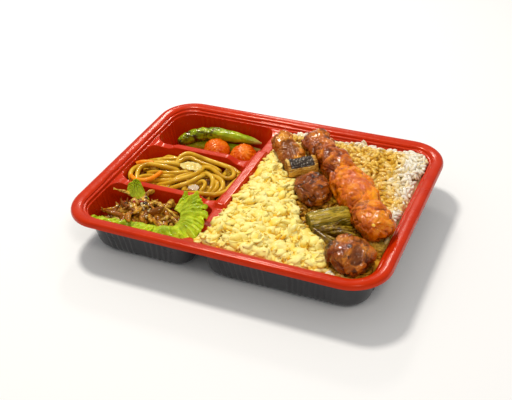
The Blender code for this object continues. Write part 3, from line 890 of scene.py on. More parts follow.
# %% Tomatoes
def tomato(node, seed):
    """A slightly flattened ball with shrunken, wrinkled skin."""
    low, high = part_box(node)
    middle = (low + high) / 2
    radius = (high - low) / 2 * 1.03
    deselect()
    bpy.ops.mesh.primitive_uv_sphere_add(segments=128, ring_count=72, radius=1, location=middle)
    piece = bpy.context.object
    piece.name = node + "_fruit"
    piece.scale = radius * 0.985
    piece.rotation_euler = (math.radians(-18), math.radians(10 * (1 if seed % 2 else -1)), 0.4 * seed)
    apply_all(piece)
    axis = Vector((0.15, -0.3, 0.94)).normalized()

    def wrinkles(point):
        away = (point - middle).normalized()
        height = away.dot(axis)
        turn = math.atan2(away.cross(axis).x, away.cross(axis).y)
        fan = abs(math.sin(turn * 7 + 2.6 * hills(point, 6 * MM, seed))) * (1 - height ** 6)
        fold = creases(point, 4.2 * MM, seed + 2)
        return MM * (0.55 * seed * fan + 0.42 * fold + 0.55 * hills(point, 9 * MM, seed) - 0.42)

    relief(piece, wrinkles)
    return piece


def tomato_look():
    """Red-orange skin with pale streaks of painted glint, browned here and there."""
    look = new_look("tomato_skin", (0.62, 0.07, 0.01), 0.2, coat=0.5, soft=0.05)
    reds = graded(look, spots(look, 120, 3), [
        (0.3, (0.76, 0.085, 0.000)), (0.55, (0.88, 0.17, 0.000)), (0.8, (0.95, 0.29, 0.008)),
    ])
    # Painted glints: pale streaks laid into the skin colour.
    painted_glint_streaks = stepped(look, spots(look, 420, 3, 0.6, (1, 1, 0.35)), 0.60, 0.72, 0.0, 0.5)
    colour = blended(look, painted_glint_streaks, reds, (0.80, 0.42, 0.14))
    return finish_look(look, colour, None, spots(look, 1100, 3), 0.00016)


TOMATO_SKIN = tomato_look()
for order, node in enumerate(("tomato_left", "tomato_right")):
    fruit = tomato(node, order + 1)
    fruit.data.materials.append(TOMATO_SKIN)
    settle(fruit, node)

# %% [markdown]
# The noodles are thick wheat noodles in soy sauce. Their loops are what one sees, so the
# upper ones are listed, one line for each noodle, as a cook's chopsticks left them.
# Below them a darker bed of shorter random noodles closes the gaps down to a dark sheet, partly the sauce
# and partly painted shade.

# %% Noodles
TOP_NOODLES = [
    [(-87, 9, 26), (-89, 16, 30), (-87, 23, 32), (-83, 26.5, 33), (-76, 25.5, 33), (-62, 22, 33),
     (-46, 20, 32), (-37, 18.5, 32), (-31, 14, 31), (-30, 8, 30), (-34, 3.5, 30), (-42, 7, 30),
     (-52, 14, 30), (-59, 17.5, 29), (-68, 16, 27)],
    [(-92, 8, 27), (-86, 13, 29.5), (-84, 18.5, 31), (-80, 22, 31.5), (-74, 22.5, 30.5), (-66, 19, 29),
     (-56, 21, 29), (-46, 15, 28)],
    [(-117, -1, 29), (-112, 3, 31), (-104, 5, 31.5), (-97, 5.5, 31), (-92, 8.5, 31), (-87, 10.5, 30),
     (-82, 13, 27)],
    [(-112, 6, 27), (-104, 10, 29.5), (-96, 9, 30), (-90, 12, 29.5), (-84, 15, 28)],
    [(-81, 4, 28), (-86, 1.5, 31.5), (-93, -1, 33), (-101, -0.5, 33), (-108, -1.5, 33), (-113, -6, 32),
     (-113, -13, 30), (-110, -20, 27), (-104, -24, 25)],
    [(-108, 1, 29), (-114, -3, 31), (-118, -8, 31), (-118.5, -15, 30), (-116, -21, 28), (-108, -25.5, 26)],
    [(-105, -9, 28), (-100, -6, 30), (-92, -7, 30.5), (-85, -5, 30.5), (-78, -1.5, 30.5), (-71, 2, 30),
     (-66, 9, 28), (-60, 12, 26)],
    [(-112, -17, 26), (-106, -12.5, 28.5), (-97, -12, 29), (-89, -9.5, 29), (-83, -7, 29), (-79, -1, 28),
     (-76, 5, 26)],
    [(-92, -20, 25), (-84, -19, 28), (-77, -18.5, 30), (-73, -14, 31.5), (-68, -9, 32), (-63, -4, 32),
     (-60, 2, 32), (-60, 9, 30.5), (-63, 16, 28)],
    [(-80, -22, 26), (-77, -16, 29.5), (-75, -11, 31), (-71, -6, 31.5), (-67, -1, 30.5), (-66, 5, 28)],
    [(-78, -25, 27), (-70, -20.5, 30), (-63, -17, 31.5), (-59, -10, 32), (-56, -1, 31.5), (-53, 6, 29)],
    [(-60, 1, 28), (-56, 4.5, 31), (-50, 3, 32), (-44, -2, 32), (-41, -9, 31), (-40, -16, 29),
     (-43, -21, 26)],
    [(-52, 7, 28), (-45, 4, 30.5), (-38, 0.5, 31), (-33, -5, 31), (-31, -11, 30), (-33, -17, 28),
     (-38, -21, 26)],
    [(-46, 0, 28), (-40, -3, 30), (-37, -8, 30.5), (-36, -13, 29.5), (-39, -17, 27)],
    [(-58, -9, 27), (-54, -5, 29.5), (-50, -6, 30), (-47, -11, 30), (-48, -17, 28), (-52, -20, 26)],
    [(-60, -25, 27), (-53, -24, 30), (-45, -24.5, 31), (-37, -23.5, 31), (-30, -20.5, 30.5),
     (-27.5, -13, 29), (-28, -5, 27)],
    [(-27.5, 10, 27), (-27, 2, 29), (-28.5, -6, 28), (-30, -12, 26)],
    [(-72, 26, 27), (-60, 26.5, 29), (-48, 25, 29), (-36, 24, 28), (-29, 19, 26)],
    [(-118, 14, 24), (-108, 18, 26), (-98, 20, 27), (-90, 24, 27), (-80, 27, 25)],
    [(-90, -26, 26), (-84, -23, 28.5), (-78, -25, 29), (-70, -26, 28), (-62, -24, 26)],
    [(-104, -18, 25), (-97, -17, 27.5), (-90, -15, 28), (-84, -13, 27.5), (-79, -10, 27)],
]
NOODLE_RADIUS = 1.95


def noodle_lines():
    """The listed noodles, then a bed of random shorter ones below them."""
    random.seed(11)
    lines = []
    for route in TOP_NOODLES:
        thick = NOODLE_RADIUS * random.uniform(0.92, 1.1)
        line = [(x, y, z, thick * random.uniform(0.93, 1.07)) for x, y, z in route]
        lines.append(line)
    low, high = (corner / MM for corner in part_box("noodles"))
    for _ in range(46):
        x = random.uniform(low.x + 8, high.x - 6)
        y = random.uniform(low.y + 5, high.y - 5)
        z = random.uniform(21.5, 25.5)
        heading = random.uniform(0, math.tau)
        bend = random.uniform(-0.42, 0.42)
        line = []
        for _ in range(9):
            line.append((x, y, z, NOODLE_RADIUS * random.uniform(0.9, 1.08)))
            heading += bend + random.uniform(-0.25, 0.25)
            x = min(high.x - 4, max(low.x + 5, x + 4 * math.cos(heading)))
            y = min(high.y - 3.5, max(low.y + 3.5, y + 4 * math.sin(heading)))
            z = min(26.5, max(21, z + random.uniform(-1.2, 1.2)))
        lines.append(line)
    return lines


def lowered_bed(node, name, drop):
    """A copy of a solid whose top is lowered, as the darker bed under loose things: its colour in the gaps
    is partly painted shade.
    """
    bed = solid_copy(node, name)
    low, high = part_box(node)
    for vertex in bed.data.vertices:
        if vertex.co.z > mix(low.z, high.z, 0.6):
            vertex.co.z -= drop
    return bed


def noodle_look():
    """Soy-brown noodles, paler on some, with a wet sheen."""
    look = new_look("noodle_skin", (0.52, 0.25, 0.03), 0.3, coat=0.35, soft=0.12)
    browns = graded(look, spots(look, 70, 3), [
        (0.28, (0.46, 0.21, 0.003)), (0.5, (0.68, 0.38, 0.010)), (0.75, (0.90, 0.61, 0.08)),
    ])
    specks = stepped(look, spots(look, 900, 3, 0.7), 0.62, 0.72, 0.0, 0.45)
    colour = blended(look, specks, browns, (0.24, 0.075, 0.004))
    return finish_look(look, colour, None, spots(look, 600, 3), 0.0002)


noodles = curve_piece("noodle_strands", noodle_lines(), 10, 7)
noodles.data.materials.append(noodle_look())
# The dark bed is partly the sauce's own colour and partly painted shade in the gaps between noodles.
sauce_and_shade_bed = new_look("noodle_sauce_and_shade", (0.16, 0.045, 0.006), 0.2, coat=0.5)
finish_look(sauce_and_shade_bed, graded(sauce_and_shade_bed, spots(sauce_and_shade_bed, 160, 3), [
    (0.3, (0.11, 0.022, 0.003)), (0.7, (0.26, 0.10, 0.012))]), None, spots(sauce_and_shade_bed, 300, 3), 0.0006)
bed = lowered_bed("noodles", "noodle_bed", 6.5 * MM)
bed.data.materials.append(sauce_and_shade_bed)
settle(noodles, "noodles")
settle(bed, "noodles", smooth=False)

# %% [markdown]
# Carrot strips, pale cabbage and a glassy bit of onion lie on the noodles. A carrot strip
# is cut square and bends; the cabbage is a thin crumpled leaf piece, thick at its rib.

# %% Carrot, cabbage and onion
CARROTS = {
    "carrot_front": [
        (-115.5, -18, 29.5, 1.5), (-113, -22.5, 31, 2.1), (-108, -25.5, 32, 2.3), (-101, -26.5, 32.6, 2.4),
        (-95, -23.5, 33, 2.3), (-92, -18, 33, 2.2), (-90.5, -9, 33.5, 1.9),
    ],
    "carrot_back": [
        (-119.5, -2.5, 31, 1.9), (-117, 0.5, 32.3, 2.4), (-112, 2.2, 32.7, 2.3), (-105, 3, 32.3, 1.7),
    ],
}


def strip(name, line, squash):
    """A flat bendy strip from a tube pressed thin."""
    piece = curve_piece(name, [line], 10, 10)
    middle = sum(point[2] for point in line) / len(line) * MM
    for vertex in piece.data.vertices:
        vertex.co.z = middle + (vertex.co.z - middle) * squash
    return piece


def carrot_look():
    """Cooked carrot: bright orange with paler core streaks."""
    look = new_look("carrot_flesh", (0.85, 0.24, 0.01), 0.28, coat=0.2, soft=0.1)
    tones = graded(look, spots(look, 220, 3), [(0.3, (0.86, 0.20, 0.001)), (0.7, (0.98, 0.34, 0.004))])
    return finish_look(look, tones, None, spots(look, 800, 3), 0.00018)


def cabbage(node, bulge, seed):
    """A crumpled, torn piece of cabbage leaf with a raised rib."""
    low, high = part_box(node)
    middle = (low + high) / 2
    half = (high - low) / 2
    points, faces = [], []
    rows, columns = 22, 30
    for row in range(rows + 1):
        for column in range(columns + 1):
            u, v = column / columns * 2 - 1, row / rows * 2 - 1
            edge = 1 - 0.16 * (0.5 + 0.5 * hills(Vector((u, v, 0)) * 0.01, 4 * MM, seed))
            x = half.x * u * math.sqrt(1 - v * v / 2) * edge
            y = half.y * v * math.sqrt(1 - u * u / 2) * edge
            lift = 0.9 * math.cos(u * 1.4) + bulge * math.exp(-(v * 3) ** 2)
            wave = 0.5 * hills(Vector((x, y, 0)), 5 * MM, seed + 3) + 0.28 * math.sin(u * 9 + v * 3)
            points.append(middle + Vector((x, y, (lift + wave) * MM)))
    for row in range(rows):
        for column in range(columns):
            start = row * (columns + 1) + column
            faces.append((start, start + 1, start + columns + 2, start + columns + 1))
    piece = mesh_piece(node + "_leaf", points, faces)
    shell = piece.modifiers.new("Thick", "SOLIDIFY")
    shell.thickness = 0.9 * MM
    shell.offset = -1
    return apply_all(piece)


def cabbage_look():
    """Pale yellow leaf, paler in patches."""
    look = new_look("cabbage_flesh", (0.82, 0.66, 0.22), 0.3, coat=0.3, soft=0.3)
    tones = graded(look, spots(look, 180, 3), [
        (0.3, (0.72, 0.48, 0.09)), (0.55, (0.86, 0.68, 0.24)), (0.8, (0.90, 0.84, 0.50)),
    ])
    return finish_look(look, tones, None, spots(look, 500, 3, 0.6, (1, 0.3, 1)), 0.0002)


CARROT_FLESH = carrot_look()
CABBAGE_FLESH = cabbage_look()
for node, line in CARROTS.items():
    carrot = strip(node + "_strip", line, 0.8)
    carrot.data.materials.append(CARROT_FLESH)
    settle(carrot, node)
ONION_FLESH = new_look("onion_glassy", (0.62, 0.46, 0.30), 0.2, coat=0.4, soft=0.4)
finish_look(ONION_FLESH, graded(ONION_FLESH, spots(ONION_FLESH, 300, 3), [
    (0.3, (0.50, 0.30, 0.16)), (0.7, (0.78, 0.66, 0.50))]), None, spots(ONION_FLESH, 500, 3), 0.0002)
for order, node in enumerate(("cabbage_piece", "cabbage_scrap")):
    leaf = cabbage(node, 0.9 - 0.4 * order, 5 + order)
    leaf.data.materials.append(ONION_FLESH if order else CABBAGE_FLESH)
    settle(leaf, node)

# %% [markdown]
# Lettuce lines the front pocket: one frilly leaf stands round the front and right walls,
# and a torn tip sticks up at the back. A leaf is a sheet swept through three lines, bent over
# at the middle one, with waves that grow towards its free edge, as a frilled leaf has more edge than middle.

# %% Lettuce
def spline_point(points, share):
    """Point on a smooth line through the given points, at a share of their count."""
    spans = len(points) - 1
    place = min(spans - 1e-6, max(0.0, share * spans))
    index = int(place)
    part = place - index
    near = [Vector(points[min(spans, max(0, index + step))]) for step in (-1, 0, 1, 2)]
    square, cube = part * part, part ** 3
    return 0.5 * (
        2 * near[1] + (near[2] - near[0]) * part
        + (2 * near[0] - 5 * near[1] + 4 * near[2] - near[3]) * square
        + (3 * near[1] - near[0] - 3 * near[2] + near[3]) * cube
    )


LEAF_LOW = [(-112, -74, 20), (-98, -76, 20), (-84, -74, 21), (-68, -73, 22), (-55, -71, 24), (-47, -67, 27),
            (-45, -63, 30), (-46, -58, 31), (-49, -55, 31), (-54, -53, 31)]
LEAF_BEND = [(-114, -79, 30), (-100, -80.5, 31.5), (-84, -79, 35.5), (-64, -78, 36.5), (-46, -77, 37),
             (-36, -72, 37.5), (-33, -62, 38.5), (-36, -53, 39), (-43, -47, 39), (-52, -45, 37.5)]
LEAF_HIGH = [(-116, -87, 30.5), (-102, -89, 31), (-86, -89.5, 31.5), (-64, -89.5, 31.5), (-42, -89, 31.5),
             (-20, -83.5, 33), (-19.5, -66, 36.5), (-27, -50, 38), (-38, -39.5, 39), (-52, -36, 38)]
TIP_LOW = [(-104, -46, 31), (-98, -48, 30.5), (-90, -48.5, 30), (-81, -47, 31)]
TIP_BEND = [(-104, -43, 35), (-98.5, -44.5, 36.5), (-93, -44.5, 37), (-87, -44, 35)]
TIP_HIGH = [(-103, -41, 38.5), (-99.5, -40.5, 41), (-96, -39.5, 43.5), (-92.5, -40, 41.5)]


def frill_sheet(name, low, bend, high, columns, rows, wave, ragged, seed):
    """A ruffled leaf swept through three lines, thickened."""
    points, faces, veins = [], [], []
    for column in range(columns + 1):
        share = column / columns
        foot, knee, head = (spline_point(line, share) for line in (low, bend, high))
        ahead = spline_point(high, min(1.0, share + 0.01)) - spline_point(high, max(0.0, share - 0.01))
        length = share * 140
        ridge = hills(Vector((length, 0, 0)) * MM, 9 * MM, seed)
        for row in range(rows + 1):
            rise = row / rows
            grown = rise ** 1.6
            phase = length * 0.66 + 2.6 * ridge
            climb = (knee - foot) * (2 - 2 * rise) + (head - knee) * (2 * rise)
            out = climb.cross(ahead).normalized()
            push = 0.15 * wave * grown * math.sin(phase)
            push += 0.45 * wave * grown * rise * math.sin(phase * 2.3 + 1.3 + 2.4 * rise)
            place = Vector((length, rise * 22, 0)) * MM
            push += 1.5 * wave * hills(place, 8 * MM, seed + 1) * (0.3 + 0.7 * rise)
            push += 1.1 * wave * hills(place, 3.8 * MM, seed + 5) * (0.1 + 0.9 * rise)
            push += 0.4 * hills(place, 1.9 * MM, seed + 2)
            edge = 1.2 * ragged * hills(Vector((length, 0, 9)) * MM, 2.6 * MM, seed + 3)
            edge += 1.3 * ragged * hills(Vector((length, 0, 3)) * MM, 7 * MM, seed + 4)
            spot = foot * (1 - rise) ** 2 + knee * 2 * rise * (1 - rise) + head * rise ** 2
            spot += out * push + climb.normalized() * edge * grown
            spot += ahead.normalized() * 0.9 * grown * math.cos(phase * 2.7)
            points.append(spot * MM)
            rib = abs(math.sin(length * 0.16 + 1.5 * rise + 0.8 * ridge))
            veins.append(max(0.0, 1 - rib * 9) * (1 - 0.7 * rise) * 0.5 + 0.25 * (1 - rise))
    for column in range(columns):
        for row in range(rows):
            start = column * (rows + 1) + row
            faces.append((start, start + rows + 1, start + rows + 2, start + 1))
    piece = mesh_piece(name, points, faces)
    store(piece.data, "vein", veins)
    shell = piece.modifiers.new("Thick", "SOLIDIFY")
    shell.thickness = 0.35 * MM
    shell.offset = 0
    return apply_all(piece)


def lettuce_look():
    """Bright yellow-green leaf that lets light through, darker in patches, pale veins."""
    look = new_look("lettuce_leaf", (0.35, 0.46, 0.005), 0.34, coat=0.2, soft=0.35)
    greens = graded(look, spots(look, 90, 4), [
        (0.30, (0.24, 0.36, 0.000)), (0.5, (0.44, 0.56, 0.001)), (0.70, (0.72, 0.80, 0.02)),
    ])
    colour = blended(look, mark(look, "vein"), greens, (0.64, 0.70, 0.10))
    return finish_look(look, colour, None, spots(look, 650, 3), 0.0004)


LETTUCE = lettuce_look()
leaf = frill_sheet("lettuce_frill", LEAF_LOW, LEAF_BEND, LEAF_HIGH, 520, 32, 2.5, 2.3, 4)
tip = frill_sheet("lettuce_torn_tip", TIP_LOW, TIP_BEND, TIP_HIGH, 70, 24, 0.6, 0.7, 9)
for piece, node in ((leaf, "lettuce_leaf"), (tip, "lettuce_tip")):
    piece.data.materials.append(LETTUCE)
    settle(piece, node)

# %% [markdown]
# On the lettuce lies a heap of small fried fish in dark sweet glaze, with peanuts, chilli,
# garlic, sesame and burnt bits. Every fish is a tapering bent body, pinched before a tail
# fin. They are dropped one by one on a field of heights that grows as they land, which
# gives a heap its real tangle, and the smaller things are dropped on top last.

# %% Fried fish
def fish_shape(length, thick, bend, seed):
    """One small fish as arrays: ten sections of eight points, closed at both ends."""
    sections = [(0.0, 0.18), (0.06, 0.62), (0.16, 0.92), (0.32, 1.0), (0.5, 0.82), (0.66, 0.56),
                (0.8, 0.3), (0.87, 0.24), (0.95, 0.55), (1.0, 0.72)]
    points = []
    for share, size in sections:
        for side in range(8):
            turn = math.tau * side / 8
            wide = thick * size * (0.62 if share < 0.84 else 0.16)
            tall = thick * size * (1 if share < 0.84 else 1.15)
            rough = 1 + 0.16 * hills(Vector((share * 9, math.cos(turn), math.sin(turn))) * 0.01, 0.011, seed)
            x = (share - 0.5) * length
            y = tall * rough * math.sin(turn) + bend * length * (share - 0.5) ** 2
            points.append((x, y, wide * rough * math.cos(turn) + 0.05 * length * math.sin(share * 5 + seed)))
    faces = []
    for ring in range(len(sections) - 1):
        for side in range(8):
            after = (side + 1) % 8
            start = ring * 8
            faces.append((start + side, start + after, start + 8 + after, start + 8 + side))
    faces.append(tuple(range(7, -1, -1)))
    faces.append(tuple(range(len(points) - 8, len(points))))
    return np.array(points), faces


def bit_shape(size, rough, seed, sides=8, rings=6):
    """A small irregular lump as arrays."""
    ball, faces = ball_mesh(sides, rings)
    shape = np.array([
        Vector(point) * (1 + rough * hills(Vector(point) * 0.01, 0.009, seed)) for point in ball
    ])
    return shape * np.array(size), faces


def fish_heap_pile():
    """The heap of fish over a lowered core."""
    random.seed(5)
    core = lowered_bed("fish_heap", "fish_core", 7 * MM)
    tree = tree_of(core)
    low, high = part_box("fish_heap")
    pile = Pile((low.x - 0.002, low.y - 0.002), (high.x + 0.002, high.y + 0.002), 0.8 * MM,
                lambda x, y: top_of(tree, x, y))
    for number in range(125):
        across = random.gauss(0.5, 0.27)
        up = random.gauss(0.5, 0.27)
        x, y = mix(low.x, high.x, across), mix(low.y, high.y, up)
        length = random.uniform(16, 30) * MM
        shape, faces = fish_shape(length, random.uniform(2.2, 3.5) * MM, random.uniform(-0.9, 0.9), number)
        pile.drop(shape, faces, x, y, random.gauss(2.6, 0.9), random.uniform(-1.2, 1.2),
                  22, random.random(), high.z + 3 * MM)
    stray, faces = fish_shape(19 * MM, 2.2 * MM, 0.5, 7)
    stray = stray @ np.array(Matrix.Rotation(math.radians(-38), 3, "Y")).T
    stray = stray @ np.array(Matrix.Rotation(math.radians(-152), 3, "Z")).T
    pile.points.append(stray + np.array((-105, -47.5, 34)) * MM)
    pile.faces += [tuple(index + pile.count for index in face) for face in faces]
    pile.tones += [0.8] * len(stray)
    pile.count += len(stray)
    return core, pile


def fish_look():
    """Glazed brown fish: each has its own tone, with dark patches of painted shade and small pale spots of
    painted glint.
    """
    look = new_look("fried_fish_skin", (0.33, 0.14, 0.02), 0.28, coat=0.45)
    browns = graded(look, mark(look, "tone"), [
        (0.0, (0.13, 0.030, 0.001)), (0.3, (0.46, 0.13, 0.003)), (0.55, (0.72, 0.33, 0.010)),
        (0.85, (0.86, 0.55, 0.060)), (1.0, (0.58, 0.40, 0.12)),
    ])
    # Painted shade: dark patches in the fish's colour.
    shade = stepped(look, spots(look, 380, 4, 0.65), 0.38, 0.62)
    colour = blended(look, shade, browns, (0.24, 0.070, 0.002))
    # Painted glints: small pale spots in the fish's colour.
    painted_glints = stepped(look, spots(look, 520, 3), 0.62, 0.74, 0.0, 0.55)
    colour = blended(look, painted_glints, colour, (0.72, 0.50, 0.20))
    return finish_look(look, colour, None, spots(look, 1100, 4), 0.0004)


core, heap = fish_heap_pile()
# The dark core is partly the glaze's own colour and partly painted shade in the gaps between fish.
core_look = new_look("fish_glaze_and_shade", (0.06, 0.02, 0.004), 0.25, coat=0.7)
finish_look(core_look, graded(core_look, spots(core_look, 240, 4), [
    (0.3, (0.03, 0.008, 0.002)), (0.7, (0.16, 0.05, 0.008))]), None, spots(core_look, 300, 4), 0.001)
core.data.materials.append(core_look)
fish = heap.joined("fried_fish")
fish.data.materials.append(fish_look())
settle(fish, "fish_heap")
settle(core, "fish_heap", smooth=False)


# %% Bits among the fish
BITS = {
    # name: (count, half sizes in mm, roughness of the shape, dark colour, light colour)
    "peanut_halves": (8, (3.3, 2.3, 1.5), 0.12, (0.55, 0.28, 0.03), (0.80, 0.55, 0.14)),
    "chilli_bits": (15, (2.7, 1.4, 0.6), 0.45, (0.30, 0.012, 0.004), (0.55, 0.045, 0.012)),
    "garlic_bits": (16, (1.8, 1.2, 0.9), 0.5, (0.45, 0.30, 0.10), (0.78, 0.66, 0.38)),
    "burnt_bits": (14, (2.0, 1.2, 0.8), 0.6, (0.015, 0.010, 0.008), (0.09, 0.05, 0.03)),
    "sesame_seeds": (26, (1.5, 0.9, 0.5), 0.05, (0.62, 0.42, 0.14), (0.82, 0.68, 0.38)),
}


def scatter_bits(name, pile, seed):
    """Drop one kind of small thing on the heap as it now lies."""
    count, size, rough, dark, light = BITS[name]
    random.seed(seed)
    pile.points, pile.faces, pile.tones, pile.count = [], [], [], 0
    low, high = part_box("fish_heap")
    for number in range(count):
        shape, faces = bit_shape(np.array(size) * MM * random.uniform(0.8, 1.2), rough, seed + number)
        x = mix(low.x, high.x, random.gauss(0.5, 0.24))
        y = mix(low.y, high.y, random.gauss(0.5, 0.22))
        pile.drop(shape, faces, x, y, random.uniform(0, math.tau), 0, 35, random.random())
    piece = pile.joined(name)
    look = new_look(name + "_look", light, 0.3, coat=0.5)
    tones = graded(look, mark(look, "tone"), [(0.1, dark), (0.9, light)])
    finish_look(look, tones, None, spots(look, 900, 3), 0.0003)
    piece.data.materials.append(look)
    return settle(piece, None)


for order, name in enumerate(BITS):
    scatter_bits(name, heap, 70 + order * 40)

# %% [markdown]
# Rice fills the right of the large pocket. The core is the imported solid with its top let
# down, stained with sauce, and about three thousand long grains are dropped over it. Each
# grain has its own tone: white against the far wall and corner, yellow where the sauce
# soaked in, and brown beside the meat. Each grain's low side is browner still, as painted shade.

# %% Rice
FOOD_ON_RICE = ["chicken_1", "chicken_2", "chicken_3", "leek_1", "leek_2", "leek_strands"]
FOOD_ON_RICE += [f"orange_chicken_{number}" for number in (1, 2, 3, 4)]
MOUNDS = [((115, -8), 8, 4.0), ((112, 64), 11, 2.5), ((8, 80), 8, 2.0)]
COVER = [tree_of(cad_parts[node]) for node in FOOD_ON_RICE]


def is_covered(x, y, reach):
    """Whether food lies over a place and all round it."""
    for turn in range(9):
        dx = reach * math.cos(turn * math.tau / 8) * (turn < 8)
        dy = reach * math.sin(turn * math.tau / 8) * (turn < 8)
        if all(top_of(tree, x + dx, y + dy) is None for tree in COVER):
            return False
    return True


def from_segment(x, y, start, end):
    """Distance in mm from a place to a line between two points given in mm."""
    p, a, b = Vector((x / MM, y / MM)), Vector(start), Vector(end)
    part = min(1.0, max(0.0, (p - a).dot(b - a) / (b - a).length_squared))
    return (p - a - (b - a) * part).length


def stain(x, y):
    """How sauced the rice is: 0 white, 1 brown."""
    sauce = 0.47 + 0.16 * hills(Vector((x, y, 0)), 13 * MM, 3) + 0.10 * hills(Vector((x, y, 0)), 5 * MM, 5)
    sauce += 0.62 * math.exp(-(from_segment(x, y, (2, 42), (62, -24)) / 15) ** 2)
    sauce += 0.50 * math.exp(-(from_segment(x, y, (70, -20), (112, -74)) / 14) ** 2)
    for start, end, reach in (
        ((114, 76), (119, 34), 13), ((0, 88), (104, 88), 6),
        ((119, 2), (119, -14), 7), ((40, -90), (100, -90), 6),
    ):
        sauce -= 0.75 * math.exp(-(from_segment(x, y, start, end) / reach) ** 2)
    return min(1.0, max(0.0, sauce))


def grain_shape(seed):
    """One cooked long grain, a little bent and fuller at one end."""
    ball, faces = ball_mesh(6, 6)
    turned = np.stack((ball[:, 2], ball[:, 0], ball[:, 1]), axis=1)
    random.seed(seed)
    shape = turned * np.array((random.uniform(3.2, 4.2), random.uniform(1.5, 1.9), random.uniform(1.3, 1.6)))
    shape[:, 1] *= 1 + 0.12 * np.sin(turned[:, 0] * 2)
    shape[:, 1] += random.uniform(-0.35, 0.35) * turned[:, 0] ** 2
    return shape * MM, faces


def rice_pile():
    """Loose grains over a lowered core, thickest where the heap stands high."""
    core = lowered_bed("rice", "rice_core", 3.2 * MM)
    tree = tree_of(core)
    low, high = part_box("rice")

    def bed_height(x, y):
        top = top_of(tree, x, y)
        if top is None or top < 14 * MM:
            return None
        rise = 0.6 + 1.7 * max(-0.35, hills(Vector((x, y, 0)), 10 * MM, 8)) + 3.0 * ramp(y / MM, 40, 74)
        for middle, reach, height in MOUNDS:
            rise += height * math.exp(-(from_segment(x, y, middle, (middle[0], middle[1] + 1)) / reach) ** 2)
        return top + rise * MM

    pile = Pile((low.x, low.y), (high.x, high.y), 0.7 * MM, bed_height)
    grains = [grain_shape(seed) for seed in range(12)]
    random.seed(21)
    laid = 0
    while laid < 3100:
        x, y = random.uniform(low.x, high.x), random.uniform(low.y, high.y)
        if pile.height(x, y) < 0 or is_covered(x, y, 5 * MM):
            continue
        shape, faces = grains[laid % 12]
        tone = min(1.0, max(0.0, stain(x, y) + random.gauss(0, 0.09)))
        laid += 1
        # The last value browns the low side of each grain: painted shade.
        pile.drop(shape, faces, x, y, random.uniform(0, math.tau), 0, 30, tone, high.z + 7 * MM, 0.16)
    return core, pile


def rice_look(name, rough, depth):
    """Rice stained by its tone: white, straw, amber, brown; on the grains the tone also holds painted shade
    on each grain's low side.
    """
    look = new_look(name, (0.8, 0.7, 0.5), rough, coat=0.3, soft=0.2, soft_radius=(0.002, 0.0018, 0.0015))
    colour = graded(look, mark(look, "tone"), [
        (0.0, (0.92, 0.88, 0.78)), (0.22, (0.92, 0.74, 0.36)), (0.5, (0.86, 0.54, 0.08)),
        (0.72, (0.66, 0.34, 0.015)), (1.0, (0.24, 0.090, 0.003)),
    ])
    return finish_look(look, colour, None, spots(look, 500, 3), depth)


rice_core, rice = rice_pile()
store(rice_core.data, "tone", [0.22 + 0.7 * stain(v.co.x, v.co.y) for v in rice_core.data.vertices])
rice_core.data.materials.append(rice_look("rice_bed", 0.35, 0.0012))
grains = rice.joined("rice_grains")
grains.data.materials.append(rice_look("rice_grain", 0.42, 0.0001))
settle(grains, "rice")
settle(rice_core, "rice", smooth=False)

# %% [markdown]
# Crumbled egg fills the left of the large pocket, in soft flat curds and torn shreds. The
# curds are irregular pressed lumps with a curl; forty shapes are enough for the eye when
# they are turned and scaled at random. They are dropped like the rice, larger ones first,
# and some spill onto the low front part of the divider.

# %% Egg
def curd_shape(seed):
    """One egg curd: a flat, curled, uneven lump."""
    random.seed(seed)
    ball, faces = ball_mesh(10, 6)
    long, wide, thick = random.uniform(4.0, 7.2), random.uniform(2.6, 4.7), random.uniform(1.2, 2.1)
    curl, skew = random.uniform(-0.9, 1.2), random.uniform(-0.4, 0.4)
    points = []
    for spot in ball:
        point = Vector(spot)
        size = 1 + 0.42 * hills(point * 0.01, 0.008, seed) + 0.2 * hills(point * 0.01, 0.0035, seed + 5)
        x, y, z = point.x * size, point.y * size, point.z
        lift = curl * (x * x + 0.4 * y * y) + 0.5 * math.sin(x * 3 + seed) * y * 0.6
        points.append(((x + skew * y) * long, y * wide, z * thick + lift))
    return np.array(points) * MM, faces


def shred_shape(seed):
    """A torn strip of egg, curling along its length."""
    random.seed(seed)
    length, width = random.uniform(8, 14), random.uniform(1.1, 2.0)
    curl, wave = random.uniform(-0.10, 0.10), random.uniform(0.3, 1.1)
    points = []
    for ring in range(9):
        share = ring / 8
        x = (share - 0.5) * length
        size = 0.25 + 0.75 * math.sin(math.pi * min(1.0, share * 0.9 + 0.08))
        for side in range(6):
            turn = math.tau * side / 6 + share * wave
            points.append((x, curl * x * x + width * size * math.cos(turn),
                           0.55 * size * math.sin(turn) + wave * math.sin(share * 4 + seed)))
    faces = []
    for ring in range(8):
        for side in range(6):
            after = (side + 1) % 6
            faces.append((ring * 6 + side, ring * 6 + after, ring * 6 + 6 + after, ring * 6 + 6 + side))
    faces += [tuple(range(5, -1, -1)), tuple(range(48, 54))]
    return np.array(points) * MM, faces


